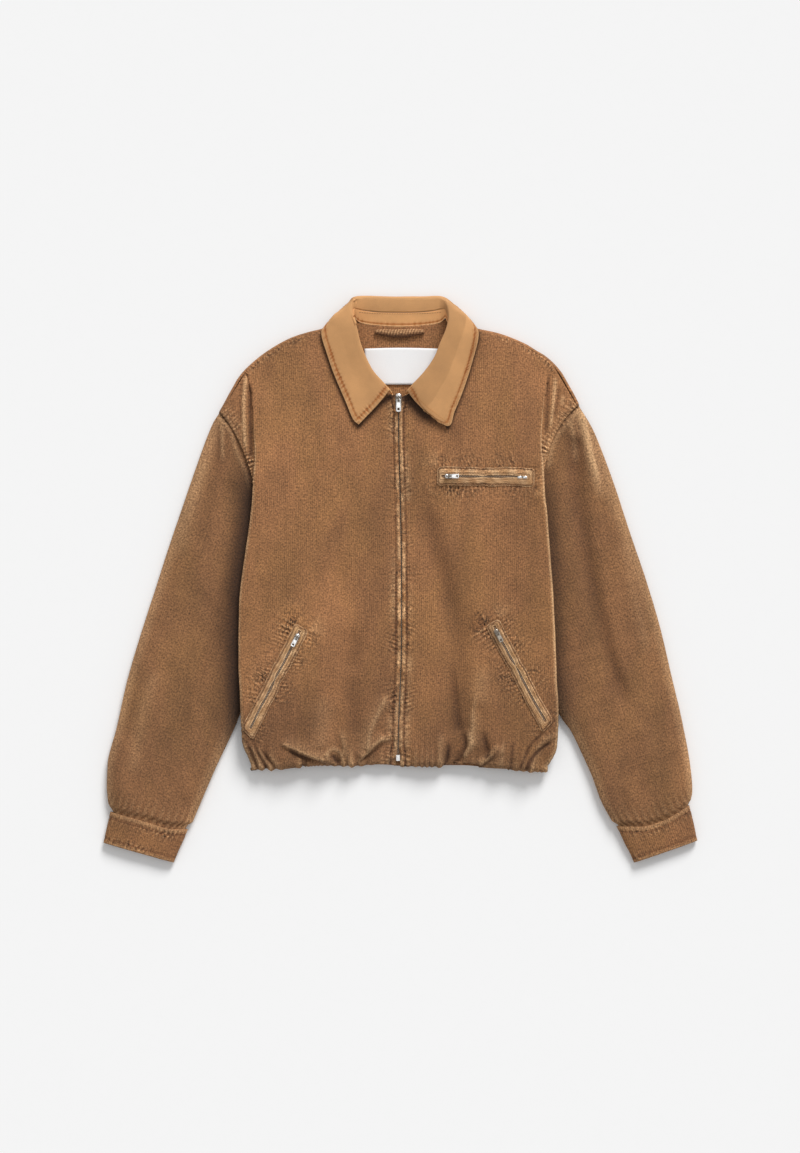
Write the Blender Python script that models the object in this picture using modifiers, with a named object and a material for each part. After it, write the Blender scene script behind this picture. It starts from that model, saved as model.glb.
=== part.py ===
"""Corduroy jacket laid flat on its back and zipped to the collar, each cut piece a thin wall of cloth.

X runs across the jacket and +X is the wearer's left, Y runs from the hem to the collar, Z is up from
the table. The tables are in millimetres, and their column `out` is a distance from the centre line,
to either side. Each surface below is the outer face of a piece, and its wall grows inwards from there.
"""

import math
from collections import namedtuple

import bmesh
import bpy
import numpy as np
from mathutils import Matrix, Vector

MM = 0.001
JACKET = "corduroy_jacket"

# Cloth, seams and hardware (millimetres)
WALL = 1.6  # corduroy
COLLAR_WALL = 1.8  # two layers of twill
FACING_WALL = 1.2
LABEL_WALL = 0.5
WELT_WALL = 1.4
TAPE_WALL = 0.9
GAP = 0.4  # between pieces that lie on each other
SEAM_GAP = 1.8  # between the edges of two pieces that are sewn together on a fold

# How the body lies
HEM_ROLL = 8.0  # radius of the blouson hem where it turns under
HEM_TURN = math.radians(-60)  # where the turned hem ends, below its widest line
HEM_Z = 7.4  # height of the turned hem's lower edge
SHOULDER_ROLL = 7.0  # radius of the fold along the shoulder
SHOULDER_SEAM = math.radians(60)  # the seam lies on the front, this far up the fold
TOP_Z = 2 * SHOULDER_ROLL
ZIP_HALF = 1.8  # from the zip's centre line to a front's edge
ZIP_ENDS_HALF = 3.2  # the same beside the slider and the stop, which are wider
UNDERARM_Y = -22.0
SEAM_SHOWS_Y = 128.0  # above this the armhole seam comes out from under the body's fold
LIP_TOP = 208.0  # where the body's fold meets the shoulder
NECK_OUT = 70.0  # the neck end of the shoulder seam

Point = namedtuple("Point", "out y")
Level = namedtuple("Level", "y zip_z mid_z lip_z under_z edge_z")
Fold = namedtuple("Fold", "x0 y0 x1 y1 width height")
Ring = namedtuple("Ring", "along height low")
Section = namedtuple(
    "Section",
    "neck_x neck_y neck_z roll_x roll_y roll_z turn_x turn_y turn_z edge_x edge_y edge_z",
)
Side = namedtuple("Side", "name sign lip edge shoulder hem sleeve_out sleeve_in cuff_in cuff_end")


def points(*pairs):
    return [Point(*pair) for pair in pairs]


# Heights of the front over the table: at the zip, half way, at the top of the side fold, on the layer
# that turns back under it, and at the edge where the side seam or armhole seam lies.
LEVELS = [
    Level(-262, 13, 17, 20, 5.5, 5.5),
    Level(-235, 14, 19, 23, 7, 7),
    Level(-205, 13, 18, 25, 12.5, 12.5),
    Level(-180, 12, 17, 26, 15.2, 15.2),
    Level(0, 11, 16, 26, 15.2, 15.2),
    Level(115, 11, 16, 26, 15.2, 15.2),
    Level(160, 11, 15.5, 24.5, 15.6, 16),
    Level(200, 11, 15, 21.5, 15.5, 15.5),
    Level(250, 12, 14.5, 17.5, 14.5, 14.5),
    Level(290, 13, 14, 14.6, 13.8, 14),
    Level(370, 14, 14, 14, 13.8, 14),
]

ZIP_LINE = points((-3, -258), (-2, -200), (2, -85), (2, 10), (0, 120), (-2, 215), (-2, 370))

RIGHT = Side(
    name="right",
    sign=-1,
    lip=points((194, -262), (204, -246), (214, -219), (216, -165), (219, -105), (218, -37), (209, 39),
               (201, 98), (199, 132), (197, 175), (199, 205), (200, 250), (LIP_TOP, 287), (LIP_TOP, 370)),
    edge=points((183, -262), (193, -239), (203, -205), (205, -170), (200, -137), (187, -97), (174, -56),
                (169, -22), (180, 26), (188, 67), (196, 112), (201, 140), (209, 165), (226, 201),
                (245, 228)),
    shoulder=points((NECK_OUT, 357), (106, 340), (124, 335.5), (147, 328), (178, 311), (199, 295),
                    (215, 279), (226, 262), (235, 246), (245, 228)),
    hem=points((0, -254), (27, -252), (68, -254), (122, -253), (163, -256), (194, -258), (215, -259)),
    sleeve_out=points((245, 228), (253, 214), (262, 189), (286, 124), (309, 58), (330, -7), (351, -72),
                      (370, -137), (385, -203), (397, -252), (398, -284), (394, -317)),
    sleeve_in=points((169, -22), (175, -56), (187, -97), (203, -140), (213, -170), (222, -196),
                     (234, -222), (250, -256), (271, -305), (284, -336)),
    cuff_in=points((393, -316), (343, -330), (311, -339), (288, -340)),
    cuff_end=points((403, -358), (343, -375), (307, -385)),
)
LEFT = Side(
    name="left",
    sign=1,
    lip=points((197, -262), (207, -250), (215, -222), (215, -185), (212, -137), (209, -42), (205, 16),
               (200, 84), (196, 117), (194, 155), (192, 189), (195, 237), (201, 271), (LIP_TOP, 290),
               (LIP_TOP, 370)),
    edge=points((183, -262), (194, -241), (202, -208), (203, -175), (199, -151), (189, -116),
                (178, -76), (169, -22), (177, 26), (185, 80), (192, 125), (198, 160), (206, 186),
                (224, 218), (243, 238)),
    shoulder=points((NECK_OUT, 357), (106, 340), (120, 337), (133, 334), (169, 320), (184, 311),
                    (197, 303), (214, 287), (230, 262), (243, 238)),
    hem=points((0, -254), (41, -253), (82, -253), (122, -256), (163, -258), (197, -260), (215, -261)),
    sleeve_out=points((243, 238), (256, 214), (267, 189), (292, 124), (314, 58), (336, -7), (355, -72),
                      (370, -137), (385, -203), (394, -252), (397, -284), (394, -309)),
    sleeve_in=points((169, -22), (177, -76), (188, -116), (202, -151), (212, -175), (220, -190),
                     (231, -205), (246, -235), (261, -268), (273, -301), (291, -334)),
    cuff_in=points((393, -307), (354, -329), (326, -336), (294, -336)),
    cuff_end=points((404, -355), (362, -370), (318, -385)),
)
SIDES = (RIGHT, LEFT)

NECK_FRONT = points((0, 246), (5, 248), (28, 268), (52, 298), (66, 328), (NECK_OUT, 357))
NECK_BACK = points((0, 341), (30, 343), (52, 347), (66, 354), (NECK_OUT, 357))

# The deepest creases of the gathered hem and the body: a soft ridge (or, below zero, a trough) along a
# straight line on the table, `width` across.
FRONT_FOLDS = [
    Fold(-188, -264, -205, -232, 7, -3.5),
    Fold(-168, -264, -186, -228, 7, -3.0),
    Fold(-146, -262, -160, -222, 11, 3.5),
    Fold(-132, -264, -112, -240, 8, -3.5),
    Fold(-102, -262, -98, -226, 12, 4.0),
    Fold(-84, -264, -80, -240, 7, -3.0),
    Fold(-66, -262, -58, -220, 10, 3.0),
    Fold(-47, -264, -40, -222, 7, -3.5),
    Fold(-28, -262, -12, -222, 9, 3.0),
    Fold(38, -262, 34, -226, 12, 3.0),
    Fold(64, -264, 62, -230, 7, -3.0),
    Fold(86, -262, 97, -202, 10, 3.5),
    Fold(76, -264, 88, -190, 8, -3.0),
    Fold(112, -264, 122, -214, 8, -3.5),
    Fold(132, -262, 138, -226, 9, 3.0),
    Fold(152, -264, 156, -240, 6, -2.5),
    Fold(170, -262, 174, -236, 8, 2.5),
    Fold(186, -264, 204, -216, 8, -3.0),
    Fold(34, 100, 82, -150, 16, -2.2),
    Fold(96, -120, 97, -200, 14, 1.6),
    Fold(-78, 0, -66, -160, 18, -2.0),
]
BACK_FOLDS = [Fold(x, -262, x + 6, -236, 8, 0.9) for x in range(-176, 180, 32)]
SLEEVE_FOLDS = {
    "right": [
        Fold(-262, 168, -300, 10, 12, 1.8),
        Fold(-232, 120, -276, -60, 13, -2.6),
        Fold(-236, -40, -300, -200, 15, -1.6),
        Fold(-330, -200, -350, -300, 12, 1.8),
        Fold(-300, -318, -292, -286, 8, -2.0),
    ],
    "left": [
        Fold(244, 222, 266, 120, 9, 2.2),
        Fold(236, 178, 262, 20, 12, -3.2),
        Fold(262, 20, 292, -150, 14, -2.4),
        Fold(228, 190, 232, 150, 7, 1.8),
        Fold(330, -210, 352, -300, 13, 1.8),
        Fold(306, -320, 300, -280, 8, -2.0),
    ],
}

# The collar from its front end round to the centre of the back. `turn` is where the fall reaches
# furthest: on the leaf it is only half way out, and behind it is where the fall folds under.
COLLAR_RIGHT = [
    Section(-9, 250, 15.6, -13, 256, 21.0, -31, 235, 19.4, -56, 209, 18.2),
    Section(-20, 258, 15.6, -24, 268, 22.0, -43, 242, 20.0, -64, 217, 18.0),
    Section(-33, 272, 15.6, -37, 283, 23.0, -54, 261, 20.5, -74, 241, 17.8),
    Section(-47, 290, 15.8, -47, 303, 23.5, -64, 282, 20.8, -84, 264, 17.6),
    Section(-57, 309, 15.8, -54, 322, 24.0, -72, 303, 20.8, -92, 284, 17.4),
    Section(-64, 327, 15.8, -58, 341, 24.0, -78, 323, 20.6, -99, 305, 17.2),
    Section(-64, 344, 14.8, -63, 356, 23.0, -86, 342, 20.4, -106, 328, 18.2),
    Section(-63, 352, 11.8, -65, 369, 20.0, -89, 356, 18.0, -110, 348, 11.5),
    Section(-61, 354, 7.8, -65, 377, 17.0, -91, 365, 8.5, -90, 361, 2.4),
    Section(-57, 350, 4.6, -62, 380, 13.5, -73, 378, 7.0, -72, 369, 2.2),
    Section(-50, 347, 3.4, -54, 380, 11.0, -56, 384, 6.0, -55, 366, 2.0),
    Section(-28, 344, 3.0, -28, 380, 10.0, -28, 384, 5.4, -28, 364, 2.0),
]
COLLAR_BACK = Section(0, 343, 3.0, 0, 380, 10.0, 0, 384, 5.4, 0, 364, 2.0)
COLLAR_LEFT = [
    Section(7, 250, 15.6, 9, 255, 21.0, 20, 241, 19.4, 34, 227, 18.4),
    Section(14, 255, 15.6, 18, 265, 22.0, 38, 235, 20.0, 65, 207, 18.0),
    Section(30, 270, 15.6, 33, 281, 23.0, 52, 255, 20.5, 74, 227, 17.8),
    Section(45, 288, 15.8, 46, 300, 23.5, 64, 276, 20.8, 84, 251, 17.6),
    Section(57, 307, 15.8, 54, 320, 24.0, 73, 299, 20.8, 92, 274, 17.4),
    Section(64, 325, 15.8, 62, 338, 24.0, 80, 319, 20.6, 98, 294, 17.2),
    Section(65, 343, 14.8, 66, 354, 23.0, 87, 339, 20.4, 106, 325, 18.2),
    Section(63, 351, 11.8, 65, 367, 20.0, 90, 355, 18.0, 110, 348, 11.5),
    Section(61, 354, 7.8, 62, 377, 17.0, 92, 364, 8.5, 91, 360, 2.4),
    Section(57, 350, 4.6, 58, 380, 13.5, 76, 376, 7.0, 75, 368, 2.2),
    Section(50, 347, 3.4, 50, 380, 11.0, 54, 384, 6.0, 55, 366, 2.0),
    Section(28, 344, 3.0, 28, 380, 10.0, 28, 384, 5.4, 28, 364, 2.0),
]
COLLAR_STOPS = [0.0, 0.2, 0.35, 0.5, 1.0]  # neck seam, roll line, between, turn, outer edge
STAND_SHARE = 0.1  # the seam between the collar's stand and its fall
STAND_GAP = 0.01
FACING_HALF = 78.0
FACING_DEPTH = 112.0

# Pockets: the zip's two ends on the table, and the width from stitched edge to stitched edge.
Pocket = namedtuple("Pocket", "name side start end width slider_from_start")
POCKETS = [
    Pocket("chest", LEFT, (53, 139.5), (176, 138), 21.0, 13),
    Pocket("pocket_right", RIGHT, (-134, -67), (-204.5, -206), 17.5, 13),
    Pocket("pocket_left", LEFT, (125.5, -61), (198.5, -197), 17.5, 13),
]
WELT_LIFT = 1.5  # clear of the front, with the zip's strip in between
MOUTH = 3.2  # between the two welts
STRIP_LIFT = 0.4
STRIP_HALF = 5.0
STRIP_WALL = 0.7

# A zip's slider: a plate with a keel in the zip's gap below and a bridge for the pull above. The pull is
# a flat tab with a hole, and the bar at its end lies under the bridge. Lengths run along the zip.
Slider = namedtuple("Slider", "width length plate keel_width keel_depth tab_length tab_width")
MAIN_SLIDER = Slider(8.0, 13.0, 1.5, 5.2, 1.7, 16.5, 7.0)
POCKET_SLIDER = Slider(6.6, 10.0, 1.2, 2.2, 1.8, 12.5, 5.6)
BRIDGE_WIDTH = 2.0
BRIDGE_LEG = 1.2
BRIDGE_HALF = 3.6  # half its length
BRIDGE_TUNNEL = 1.8  # height of the opening under it
BRIDGE_TOP = 0.9
BAR = 1.0  # thickness of the pull
BAR_FROM_END = 1.9  # from the bridge's outer end to the pull's axis
PULL_HOLE = 3.4  # from the axis to the far side of the pull's hole
MAIN_SLIDER_AT = (-2.0, 245.0)
STOP_AT = (-2.7, -242.5)
STOP_SIZE = (5.4, 8.0, 2.4)
TAPE_FROM = -245.0
TAPE_TO = 243.0
TAPE_WIDTH = 11.0
LOOP_LINE = [(-33.5, 337.5), (-26, 334), (-14, 330.6), (0, 329.3), (13, 329.6), (24, 332.4), (32, 336)]
LOOP_RADIUS = 2.6

# Where each surface is sampled
FRONT_COLUMNS = list(np.linspace(0, 0.82, 17)) + [0.845, 0.865, 0.882, 0.9, 0.92, 0.945, 0.97, 1]
FRONT_ROWS = [0, 0.02, 0.04, 0.06, 0.085, 0.12, 0.17, 0.23, 0.3, 0.38, 0.46, 0.54, 0.61, 0.67, 0.72, 0.77,
              0.82, 0.87, 0.92, 0.96, 1]
BACK_HALF = [0, 0.1, 0.2, 0.29, 0.33, 0.4, 0.48, 0.56, 0.64, 0.72, 0.79, 0.855, 0.9, 0.93, 0.965, 1]
BACK_ROWS = FRONT_ROWS[:-3] + [0.92, 0.936, 0.952, 0.968, 0.984, 1]
SLEEVE_AROUND = 22
SLEEVE_ROWS = [0, 0.04, 0.08, 0.14, 0.22, 0.31, 0.4, 0.5, 0.6, 0.7, 0.8, 0.88, 0.95, 0.968, 1]


# ---------------------------------------------------------------- curves


def smooth(xs, ys, x):
    """The monotone cubic through (xs, ys) at x: it doesn't overshoot between its points."""
    xs = np.asarray(xs, float)
    ys = np.asarray(ys, float)
    x = np.asarray(x, float)
    step = np.diff(xs)
    slope = np.diff(ys) / step
    tangent = np.zeros(len(xs))
    tangent[0] = slope[0]
    tangent[-1] = slope[-1]
    product = slope[:-1] * slope[1:]
    total = np.where(product > 0, slope[:-1] + slope[1:], 1.0)
    tangent[1:-1] = np.where(product > 0, 2 * product / total, 0.0)
    i = np.clip(np.searchsorted(xs, x) - 1, 0, len(step) - 1)
    t = np.clip((x - xs[i]) / step[i], 0, 1)
    rise = ys[i + 1] - ys[i]
    start = tangent[i] * step[i]
    finish = tangent[i + 1] * step[i]
    return ys[i] + t * (start + t * (3 * rise - 2 * start - finish + t * (start + finish - 2 * rise)))


def out_at(table, y):
    """How far out a line given by points is at height y."""
    return smooth([p.y for p in table], [p.out for p in table], y)


def y_at(table, out):
    """How far up a line given by points is at distance out."""
    return smooth([p.out for p in table], [p.y for p in table], out)


def level(name, y):
    return smooth([row.y for row in LEVELS], [getattr(row, name) for row in LEVELS], y)


def ease(low, high, x):
    """0 below low, 1 above high, smooth between."""
    t = np.clip((np.asarray(x, float) - low) / (high - low), 0, 1)
    return t * t * (3 - 2 * t)


def along(table, share):
    """The point a share of the way along a line of (a, b) pairs, by length."""
    pairs = np.array([tuple(p) for p in table], float)
    run = np.concatenate([[0], np.cumsum(np.linalg.norm(np.diff(pairs, axis=0), axis=1))])
    run /= run[-1]
    return smooth(run, pairs[:, 0], share), smooth(run, pairs[:, 1], share)


def through(stops, guides, u):
    """A smooth curve through guide points. stops: where on u each guide lies. guides: (n, ..., 3)."""
    stops = np.asarray(stops, float)
    guides = np.asarray(guides, float)
    step = np.diff(stops)
    slope = np.diff(guides, axis=0) / step[:, None, None]
    tangent = np.empty_like(guides)
    tangent[0] = slope[0]
    tangent[-1] = slope[-1]
    before = step[:-1, None, None]
    after = step[1:, None, None]
    tangent[1:-1] = (slope[:-1] * after + slope[1:] * before) / (before + after)
    i = np.clip(np.searchsorted(stops, u) - 1, 0, len(step) - 1)
    t = ((u - stops[i]) / step[i])[:, None]
    h = step[i][:, None]
    pick = np.arange(guides.shape[1])
    a = guides[i, pick]
    b = guides[i + 1, pick]
    p = tangent[i, pick] * h
    q = tangent[i + 1, pick] * h
    return a + t * (p + t * (3 * (b - a) - 2 * p - q + t * (p + q - 2 * (b - a))))


def round_through(stops, guides, u):
    """Like through, but each stretch keeps its own length, so a short one beside a long one stays round."""
    stops = np.asarray(stops, float)
    guides = np.asarray(guides, float)
    chord = np.diff(guides, axis=0)
    length = np.linalg.norm(chord, axis=2, keepdims=True)
    unit = chord / length
    heading = np.empty_like(guides)
    heading[0] = unit[0]
    heading[-1] = unit[-1]
    mixed = unit[:-1] * length[1:] + unit[1:] * length[:-1]
    heading[1:-1] = mixed / np.linalg.norm(mixed, axis=2, keepdims=True)
    i = np.clip(np.searchsorted(stops, u) - 1, 0, len(stops) - 2)
    t = ((u - stops[i]) / (stops[i + 1] - stops[i]))[:, None]
    pick = np.arange(guides.shape[1])
    a = guides[i, pick]
    d = chord[i, pick]
    p = heading[i, pick] * length[i, pick]
    q = heading[i + 1, pick] * length[i, pick]
    return a + t * (p + t * (3 * d - 2 * p - q + t * (p + q - 2 * d)))


def folded(folds, x, y):
    """How far the creases lift (or sink) the cloth over a point of the table."""
    lift = np.zeros_like(np.asarray(x, float))
    for fold in folds:
        dx = fold.x1 - fold.x0
        dy = fold.y1 - fold.y0
        share = ((x - fold.x0) * dx + (y - fold.y0) * dy) / (dx * dx + dy * dy)
        near = np.clip(share, 0, 1)
        away = np.hypot(x - fold.x0 - near * dx, y - fold.y0 - near * dy)
        fade = 1 - ease(0.45, 1.0, share)
        lift += fold.height * fade * np.exp(-((away / fold.width) ** 2))
    return lift


# ---------------------------------------------------------------- body


def shoulder_fold(side, out):
    """(y of the fold's inner line, outward direction) over the shoulder at a distance out."""
    shoulder_out = np.clip(out, NECK_OUT, side.shoulder[-1].out)
    slope = (y_at(side.shoulder, shoulder_out + 1) - y_at(side.shoulder, shoulder_out - 1)) / 2
    slope = np.where(shoulder_out < NECK_OUT + 1, slope * 2, slope)
    length = np.sqrt(1 + slope * slope)
    return y_at(side.shoulder, shoulder_out) - SHOULDER_ROLL * length, -slope / length, 1 / length


def roll_radius(y):
    """Radius of the fold down the side of the body."""
    return np.clip((level("lip_z", y) - level("under_z", y)) / 2, 1.2, None)


def zip_out(side, y):
    """How far out a front's edge is: it opens a little for the slider and for the stop."""
    at_ends = ease(224, 237, y) + 1 - ease(-237, -226, y)
    return ZIP_HALF + (ZIP_ENDS_HALF - ZIP_HALF) * at_ends + side.sign * out_at(ZIP_LINE, y)


def top_line(side, out):
    """y where the flat of the front ends: under the neckline or under the shoulder's fold."""
    inner, _, _ = shoulder_fold(side, out)
    neck = y_at(NECK_FRONT, np.clip(out, 0, NECK_OUT)) - 3
    blend = ease(NECK_OUT - 2, NECK_OUT + 4, out)
    return neck * (1 - blend) + inner * blend


def crown(side, share, y):
    """Height of the front at a share of the way from the zip to the side fold."""
    low = level("zip_z", y)
    middle = level("mid_z", y)
    high = level("lip_z", y)
    return low + (4 * middle - 3 * low - high) * share + (2 * low + 2 * high - 4 * middle) * share**2


def front_top(side, share, y):
    """The front's upper layer at a share of the way from the zip to the side fold."""
    start = zip_out(side, y)
    out = start + share * (out_at(side.lip, y) - roll_radius(y) - start)
    below = top_line(side, out) - y
    z = crown(side, share, y)
    settle = 1 - ease(0, 55, below)
    z = z * (1 - settle) + TOP_Z * settle
    return out, z + folded(FRONT_FOLDS, side.sign * out, y)


def front_height(side, x, y):
    """Height of the front's upper side over a point of the table."""
    out = side.sign * np.asarray(x, float)
    y = np.asarray(y, float)
    radius = roll_radius(y)
    start = zip_out(side, y)
    reach = out_at(side.lip, y) - radius
    share = np.clip((out - start) / (reach - start), 0, 1)
    _, z = front_top(side, share, y)
    past = np.clip(out - reach, 0, radius)
    return z - radius + np.sqrt(radius**2 - past**2)


def hem_turned(y, z, edge_y, middle_z, turn):
    """Rolls the last stretch above the hem under: turn is -60 to 90 degrees round the roll."""
    squeeze = (1 + np.sin(turn)) / 2
    return edge_y + HEM_ROLL * (1 - np.cos(turn)), middle_z + (z - middle_z) * squeeze


def body_rows(rows):
    """Splits rows of 0 to 1 into the hem's turn, the way up the body and the way over the shoulder."""
    rows = np.asarray(rows, float)
    turn = HEM_TURN + (math.pi / 2 - HEM_TURN) * np.clip(rows / 0.06, 0, 1)
    climb = np.clip((rows - 0.06) / (0.92 - 0.06), 0, 1)
    over = np.clip((rows - 0.92) / 0.08, 0, 1)
    return turn, climb, over


def over_shoulder(side, out, y, z, angle, neck_run):
    """Moves points at the top line over the shoulder's fold to an angle round it."""
    _, dir_out, dir_y = shoulder_fold(side, out)
    on = ease(NECK_OUT - 2, NECK_OUT + 6, out)
    reach = SHOULDER_ROLL * np.cos(angle)
    round_z = SHOULDER_ROLL * (1 + np.sin(angle))
    return (
        out + on * reach * dir_out,
        y + on * reach * dir_y + (1 - on) * neck_run,
        z + on * (round_z - z),
    )


def edge_climb(side, y, tip_out):
    """The seam's edge climbs with the side fold until the armhole seam shows, and slower from there."""
    lip_top = top_line(side, np.array(LIP_TOP))
    tip_top = top_line(side, np.array(tip_out))
    rate = (tip_top - SEAM_SHOWS_Y) / (lip_top - SEAM_SHOWS_Y)
    return np.where(y < SEAM_SHOWS_Y, y, SEAM_SHOWS_Y + (y - SEAM_SHOWS_Y) * rate)


def front(side):
    """The outer face of one front, from the zip over the side fold to the side and armhole seam."""

    def surface(columns, rows):
        turn, climb, over = body_rows(rows)
        angle = math.pi / 2 + (SHOULDER_SEAM - math.pi / 2) * over

        def line(out_of, top_out, height_of, floor_z):
            """One column: out and height as functions of y, climbing to the top line at top_out."""
            low = y_at(side.hem, top_out) + HEM_ROLL
            high = top_line(side, top_out)
            y = low + climb * (high - low)
            out = out_of(y)
            z = height_of(y, out)
            turned_y, turned_z = hem_turned(y, z, y_at(side.hem, top_out), floor_z, turn)
            y = np.where(climb > 0, y, turned_y)
            z = np.where(climb > 0, z, turned_z)
            moved = over_shoulder(side, out, y, z, angle, 3 * over)
            use = over > 0
            return np.stack([np.where(use, new, old) for new, old in zip(moved, (out, y, z))], axis=-1)


        def top_column(share):
            top_out = zip_out(side, 300.0) + share * (LIP_TOP - 1.2 - zip_out(side, 300.0))
            return line(
                lambda y: front_top(side, share, y)[0],
                top_out,
                lambda y, out: front_top(side, share, y)[1],
                HEM_Z,
            )

        def roll_column(angle_down):
            def height(y, out):
                radius = roll_radius(y)
                _, z = front_top(side, np.ones_like(y), y)
                return z - radius * (1 - math.cos(angle_down))

            top_out = LIP_TOP - 1.2 * (1 - math.sin(angle_down))
            return line(
                lambda y: out_at(side.lip, y) - roll_radius(y) * (1 - math.sin(angle_down)),
                top_out,
                height,
                HEM_Z,
            )

        tip_out = side.edge[-1].out - 5.0

        def edge_y(y):
            return edge_climb(side, y, tip_out)

        def under_column(share):
            """share 0: right under the lip. share 1: at the seam."""
            low = y_at(side.hem, np.array(190.0)) + HEM_ROLL
            high = top_line(side, np.array(LIP_TOP))
            lip_y = low + climb * (high - low)
            y = lip_y + share * (edge_y(lip_y) - lip_y)
            hidden = 1 - ease(SEAM_SHOWS_Y - 40, SEAM_SHOWS_Y + 4, lip_y)
            lip_out = out_at(side.lip, lip_y)
            below = lip_out + 0.8 - hidden * (roll_radius(lip_y) + 0.8)
            edge_out = out_at(side.edge, edge_y(lip_y))
            out = below + share * (edge_out - below)
            z = level("under_z", lip_y) * (1 - share) + level("edge_z", edge_y(lip_y)) * share
            drop = 2.5 * (1 - hidden) * (1 - share) * ease(280, 200, lip_y)
            z = z + drop
            turned_y, turned_z = hem_turned(y, z, y_at(side.hem, out), HEM_Z - 1.2, turn)
            y = np.where(climb > 0, y, turned_y)
            z = np.where(climb > 0, z, turned_z)
            moved = over_shoulder(side, out, y, z, angle, 3 * over)
            use = over > 0
            return np.stack([np.where(use, new, old) for new, old in zip(moved, (out, y, z))], axis=-1)

        flat = columns <= 0.82
        placed = np.empty((len(columns), 3))
        for share in np.unique(columns[flat]):
            here = columns == share
            placed[here] = top_column(share / 0.82)[here]
        stops = [0.8, 0.82, 0.85, 0.88, 0.92, 0.96, 1.0]
        guides = [
            top_column(0.8 / 0.82),
            top_column(1.0),
            roll_column(math.radians(50)),
            roll_column(math.radians(90)),
            under_column(0.0),
            under_column(0.5),
            under_column(1.0),
        ]
        placed[~flat] = through(stops, guides, columns)[~flat]
        placed[:, 0] *= side.sign
        return placed

    return surface


def back():
    """The outer face of the back: flat on the table, up to the side seams and over the shoulders."""

    def half(side, share, rows):
        turn, climb, over = body_rows(rows)
        angle = -math.pi / 2 + (SHOULDER_SEAM + math.pi / 2 - SEAM_GAP / SHOULDER_ROLL) * over
        tip_out = side.edge[-1].out - 5.0

        def column(share):
            top_out = share * tip_out
            edge_low = y_at(side.hem, np.array(190.0)) + HEM_ROLL
            lip_y = edge_low + climb * (top_line(side, np.array(LIP_TOP)) - edge_low)
            tip_y = top_line(side, np.array(tip_out))
            warped = (edge_climb(side, lip_y, tip_out) - edge_low) / (tip_y - edge_low)
            climbed = climb + share * (warped - climb)
            neck = y_at(NECK_BACK, np.clip(top_out, 0, NECK_OUT)) - 3
            inner, _, _ = shoulder_fold(side, np.array(top_out))
            blend = ease(NECK_OUT - 2, NECK_OUT + 4, top_out)
            high = neck * (1 - blend) + inner * blend
            low = y_at(side.hem, np.array(min(top_out, 190.0))) + HEM_ROLL
            y = low + climbed * (high - low)
            edge = out_at(side.edge, y) - SEAM_GAP
            widest = np.minimum(edge, tip_out)
            out = share * widest
            lift = 1 - ease(-24, -8, y)
            seam_z = level("under_z", y) * lift
            rise = np.clip((share - 0.9) / 0.1, 0, 1)
            z = seam_z * ease(0.0, 1.15, rise) / ease(0.0, 1.15, 1.0)
            z = z + folded(BACK_FOLDS, side.sign * out, y) * (1 - ease(0.85, 0.9, share))
            y = np.where(climb > 0, y, y_at(side.hem, out) + HEM_ROLL * np.clip(rows / 0.06, 0, 1))
            moved = over_shoulder(side, out, y, z, angle, 3 * over)
            use = over > 0
            return np.stack([np.where(use, new, old) for new, old in zip(moved, (out, y, z))], axis=-1)

        return column(share)

    def surface(columns, rows):
        placed = np.empty((len(columns), 3))
        for share in np.unique(columns):
            here = columns == share
            side = LEFT if share >= 0 else RIGHT
            placed[here] = half(side, abs(share), rows)[here]
            placed[here, 0] *= side.sign
        return placed

    return surface


# ---------------------------------------------------------------- sleeves and cuffs


def tube_section(around, top_power, bottom_power):
    """(across, up) of a flattened tube: across 1 is its inner fold and -1 its outer one."""
    around = np.mod(around, 1.0)
    upper = around <= 0.5
    swing = np.where(upper, 1 - 4 * around, 4 * around - 3)
    across = np.sin(swing * math.pi / 2)
    power = np.where(upper, top_power, bottom_power)
    up = np.sqrt(np.clip(1 - np.abs(across) ** power, 0, 1))
    return across, np.where(upper, up, -up)


SLEEVE_RINGS = [
    Ring(0.0, 11.2, 2.5),
    Ring(0.04, 11.2, 2.5),
    Ring(0.09, 13.0, 0.9),
    Ring(0.14, 14.0, 0.0),
    Ring(0.6, 14.2, 0.0),
    Ring(0.85, 16.0, 0.0),
    Ring(0.95, 15.0, 0.0),
    Ring(0.968, 9.4, 2.4),
    Ring(1.0, 9.4, 2.4),
]
SLEEVE_PUFF = 3.0  # how much higher a sleeve stands along its outer side
CUFF_HEIGHT = 14.0
CUFF_END_HEIGHT = 11.0


def ring_value(name, k):
    return smooth([r.along for r in SLEEVE_RINGS], [getattr(r, name) for r in SLEEVE_RINGS], k)


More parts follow.
